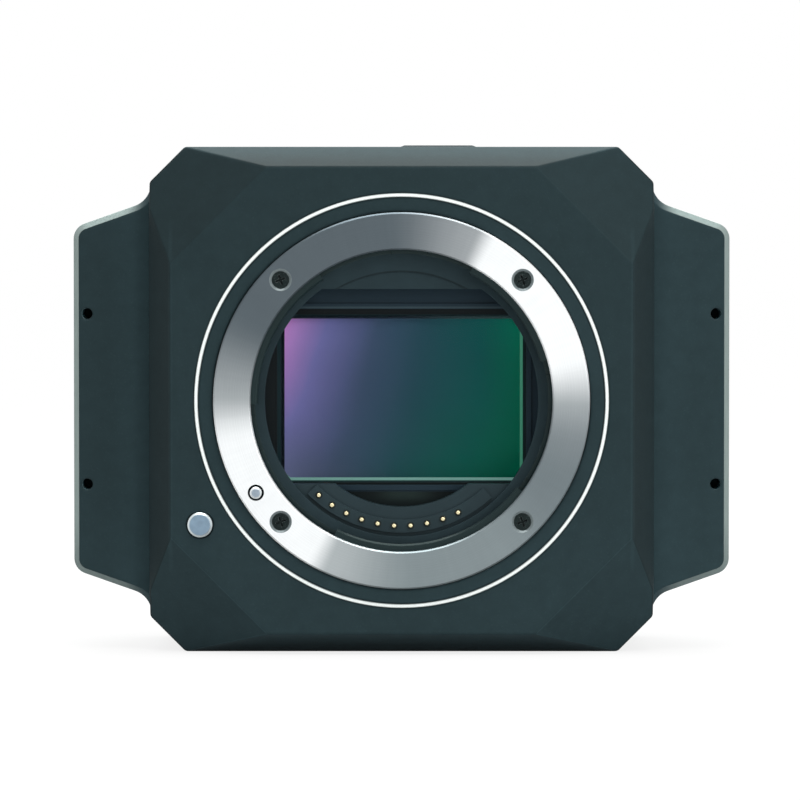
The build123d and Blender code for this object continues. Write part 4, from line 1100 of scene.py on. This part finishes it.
class CAMERA_OT_add_bond_wires(Operator):
    """Loop the gold wires from the chip to its package"""

    bl_idname = "camera_finish.add_bond_wires"
    bl_label = "Add the bond wires"

    def execute(self, context):
        detail = context.scene.finish_detail
        form = bmesh.new()
        bond_wires(form, detail.wires, detail.wire)
        add_piece("bond_wires", form, [plated("wire_gold", tone(236, 200, 128))])
        return {"FINISHED"}


class CAMERA_OT_add_ribbon(Operator):
    """Run the flat ribbon between the sensor board and the main board, with its two connectors"""

    bl_idname = "camera_finish.add_ribbon"
    bl_label = "Add the ribbon"

    def execute(self, context):
        half, thin = context.scene.finish_detail.ribbon / 2, 0.06 * MM
        first = Vector((0.5 * MM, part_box("sensor_board")[1].y, -17 * MM))
        second = Vector((0.5 * MM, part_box("main_board")[0].y, -27 * MM))
        path = ribbon_path(first + Vector((0, 0.45 * MM, 0)), second - Vector((0, 0.55 * MM, 0)))
        corners = [Vector((x * half, y * thin, 0)) for x, y in ((-1, -1), (1, -1), (1, 1), (-1, 1))]
        form = bmesh.new()
        swept(form, path, lambda point, _: [point + corner for corner in corners])
        ribbon_end(form, first, 1)
        ribbon_end(form, second, -1)
        materials = [ribbon_film("ribbon_film"), moulded("connector_cream", tone(196, 184, 156), 0.5),
                     moulded("connector_latch", tone(34, 34, 36), 0.45)]
        add_piece("board_ribbon", form, materials)
        return {"FINISHED"}


class CAMERA_OT_add_board_parts(Operator):
    """Set the small ceramic parts on the back of both boards"""

    bl_idname = "camera_finish.add_board_parts"
    bl_label = "Add the small board parts"

    def execute(self, context):
        form = bmesh.new()
        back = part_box("main_board")[1].y
        for row in range(4):
            for column in range(6):
                upright = (row + column) % 3 != 0
                for start in (-26.2, 20.6):
                    x, z = start + row * 2.0, column * 3.0 - 7.0
                    chip_capacitor(form, x * MM, back, z * MM, upright)
        for column in range(9):
            x = (column * 2.6 - 12.0) * MM
            chip_capacitor(form, x, back, 21.0 * MM, column % 4 != 0)
            chip_capacitor(form, x, back, 24.2 * MM, True)
        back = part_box("sensor_board")[1].y
        for column in range(10):
            for x in (-22.6, 22.6):
                chip_capacitor(form, x * MM, back, (column * 3.0 - 14.0) * MM, column % 2 == 0)
        materials = [moulded("ceramic_body", tone(168, 134, 98), 0.5),
                     sprung_steel("tinned_caps", tone(196, 198, 200))]
        add_piece("board_parts", form, materials)
        return {"FINISHED"}


class CAMERA_OT_build_stage(Operator):
    """Lay the floor, hang the lamps and set up the camera"""

    bl_idname = "camera_finish.build_stage"
    bl_label = "Build the stage"

    def execute(self, context):
        stage = context.scene.finish_stage
        lay_floor(cad_box[0].z)
        light_room(context.scene, stage.sky)
        hang_lamp("overhead_lamp", (0, -0.12, 0.55), (0, 0.01, 0), (0.5, 0.36), stage.top, (1, 1, 0.99))
        hang_lamp("front_lamp", (0.46, -0.62, 0.24), (0, 0, 0), (0.5, 0.5), stage.front, (1, 0.995, 0.99))
        hang_lamp("back_lamp", (0, 0.34, 0.42), (0, 0.02, 0.02), (0.5, 0.2), stage.back, (0.93, 1, 0.98))
        set_camera(context.scene, stage)
        context.scene.view_settings.view_transform = "Standard"
        return {"FINISHED"}


# Stage


def lay_floor(height):
    """A wide pale floor that keeps a faint shadow under the camera."""
    mesh = bpy.data.meshes.new("floor")
    form = bmesh.new()
    bmesh.ops.create_grid(form, x_segments=8, y_segments=8, size=12)
    form.to_mesh(mesh)
    form.free()
    floor = bpy.data.objects.new("floor", mesh)
    floor.location = (0, 0, height - 0.02 * MM)
    bpy.context.scene.collection.objects.link(floor)
    paper = Finish("floor_paper", 0.0, Roughness=0.9)
    grey, pale, white = (0.78, 0.78, 0.78), (0.82, 0.82, 0.82), (1.0, 1.0, 1.0)
    paper.set("Base Color", paper.mix(paper.noise(0.3, 2), grey, pale))
    eye = paper.node("LightPath", output="Is Camera Ray")
    open_sky = paper.node("AmbientOcclusion", {"samples": 6}, {"Distance": 0.05}, "AO")
    shadow = ((1 - open_sky) * (1.1 - eye * 0.92)).smaller(1.0)
    glow = paper.node("Emission", None, {"Color": paper.tint(white, 1.07 - shadow)})
    flat = Value(paper, paper.shader.outputs[0])
    both = paper.node("MixShader", None, {0: paper.seen() * 0.9, 1: flat, 2: glow})
    paper.feed(paper.tree.nodes["Material Output"].inputs["Surface"], both)
    mesh.materials.append(paper.material)


def light_room(scene, strength):
    """Even light from all round, white where it is seen."""
    world = bpy.data.worlds.new("studio")
    world.use_nodes = True
    scene.world = world
    room = Nodes(world.node_tree)
    background = world.node_tree.nodes["Background"]
    room.feed(background.inputs["Color"], (1.0, 1.0, 1.0))
    room.feed(background.inputs["Strength"], room.seen() * (1 - strength) + strength)


def aimed(place, target):
    """The turn of a lamp or a camera at one place that looks at another."""
    return (Vector(target) - Vector(place)).to_track_quat("-Z", "Y").to_euler()


def hang_lamp(name, place, target, size, power, colour):
    """A rectangular lamp that shines from one place to another."""
    lamp = bpy.data.lights.new(name, "AREA")
    lamp.shape = "RECTANGLE"
    lamp.size, lamp.size_y = size
    lamp.energy = power
    lamp.color = colour
    hung = bpy.data.objects.new(name, lamp)
    hung.location = place
    hung.rotation_euler = aimed(place, target)
    bpy.context.scene.collection.objects.link(hung)


def set_camera(scene, stage):
    """The camera in front of the mount."""
    lens = bpy.data.cameras.new("view")
    lens.sensor_width = 36
    lens.lens = stage.lens
    lens.clip_start = 0.01
    lens.clip_end = 100
    eye = bpy.data.objects.new("view", lens)
    eye.location = (0, -stage.distance, stage.height)
    eye.rotation_euler = aimed(eye.location, stage.aim)
    scene.collection.objects.link(eye)
    scene.camera = eye


class CAMERA_PT_finish(Panel):
    """Lists the steps and their settings."""

    bl_label = "Camera finish"
    bl_idname = "CAMERA_PT_finish"
    bl_space_type = "VIEW_3D"
    bl_region_type = "UI"
    bl_category = "Camera"

    def draw(self, context):
        for step in steps:
            self.layout.operator(step.bl_idname)
        for name in settings:
            group = getattr(context.scene, name)
            part = self.layout.box()
            for key in group.bl_rna.properties.keys():
                if key not in ("rna_type", "name"):
                    part.prop(group, key)


settings = {
    "finish_coat": CoatSettings,
    "finish_mount": MountSettings,
    "finish_throat": ThroatSettings,
    "finish_sensor": SensorSettings,
    "finish_detail": DetailSettings,
    "finish_stage": StageSettings,
}
steps = [
    CAMERA_OT_dress_shell, CAMERA_OT_dress_mount, CAMERA_OT_dress_throat, CAMERA_OT_dress_shutter,
    CAMERA_OT_dress_sensor, CAMERA_OT_dress_boards, CAMERA_OT_add_return_springs,
    CAMERA_OT_add_contact_springs, CAMERA_OT_add_contacts, CAMERA_OT_add_bond_wires,
    CAMERA_OT_add_ribbon, CAMERA_OT_add_board_parts, CAMERA_OT_build_stage,
]
classes = [*settings.values(), *steps, CAMERA_PT_finish]


def register():
    for kind in classes:
        bpy.utils.register_class(kind)
    for name, group in settings.items():
        setattr(bpy.types.Scene, name, PointerProperty(type=group))


def unregister():
    for name in settings:
        delattr(bpy.types.Scene, name)
    for kind in reversed(classes):
        bpy.utils.unregister_class(kind)


def main():
    register()
    for step in steps:
        module, name = step.bl_idname.split(".")
        if "FINISHED" not in getattr(getattr(bpy.ops, module), name)():
            raise RuntimeError(f"{step.bl_label}: not finished")


if __name__ == "__main__":
    main()
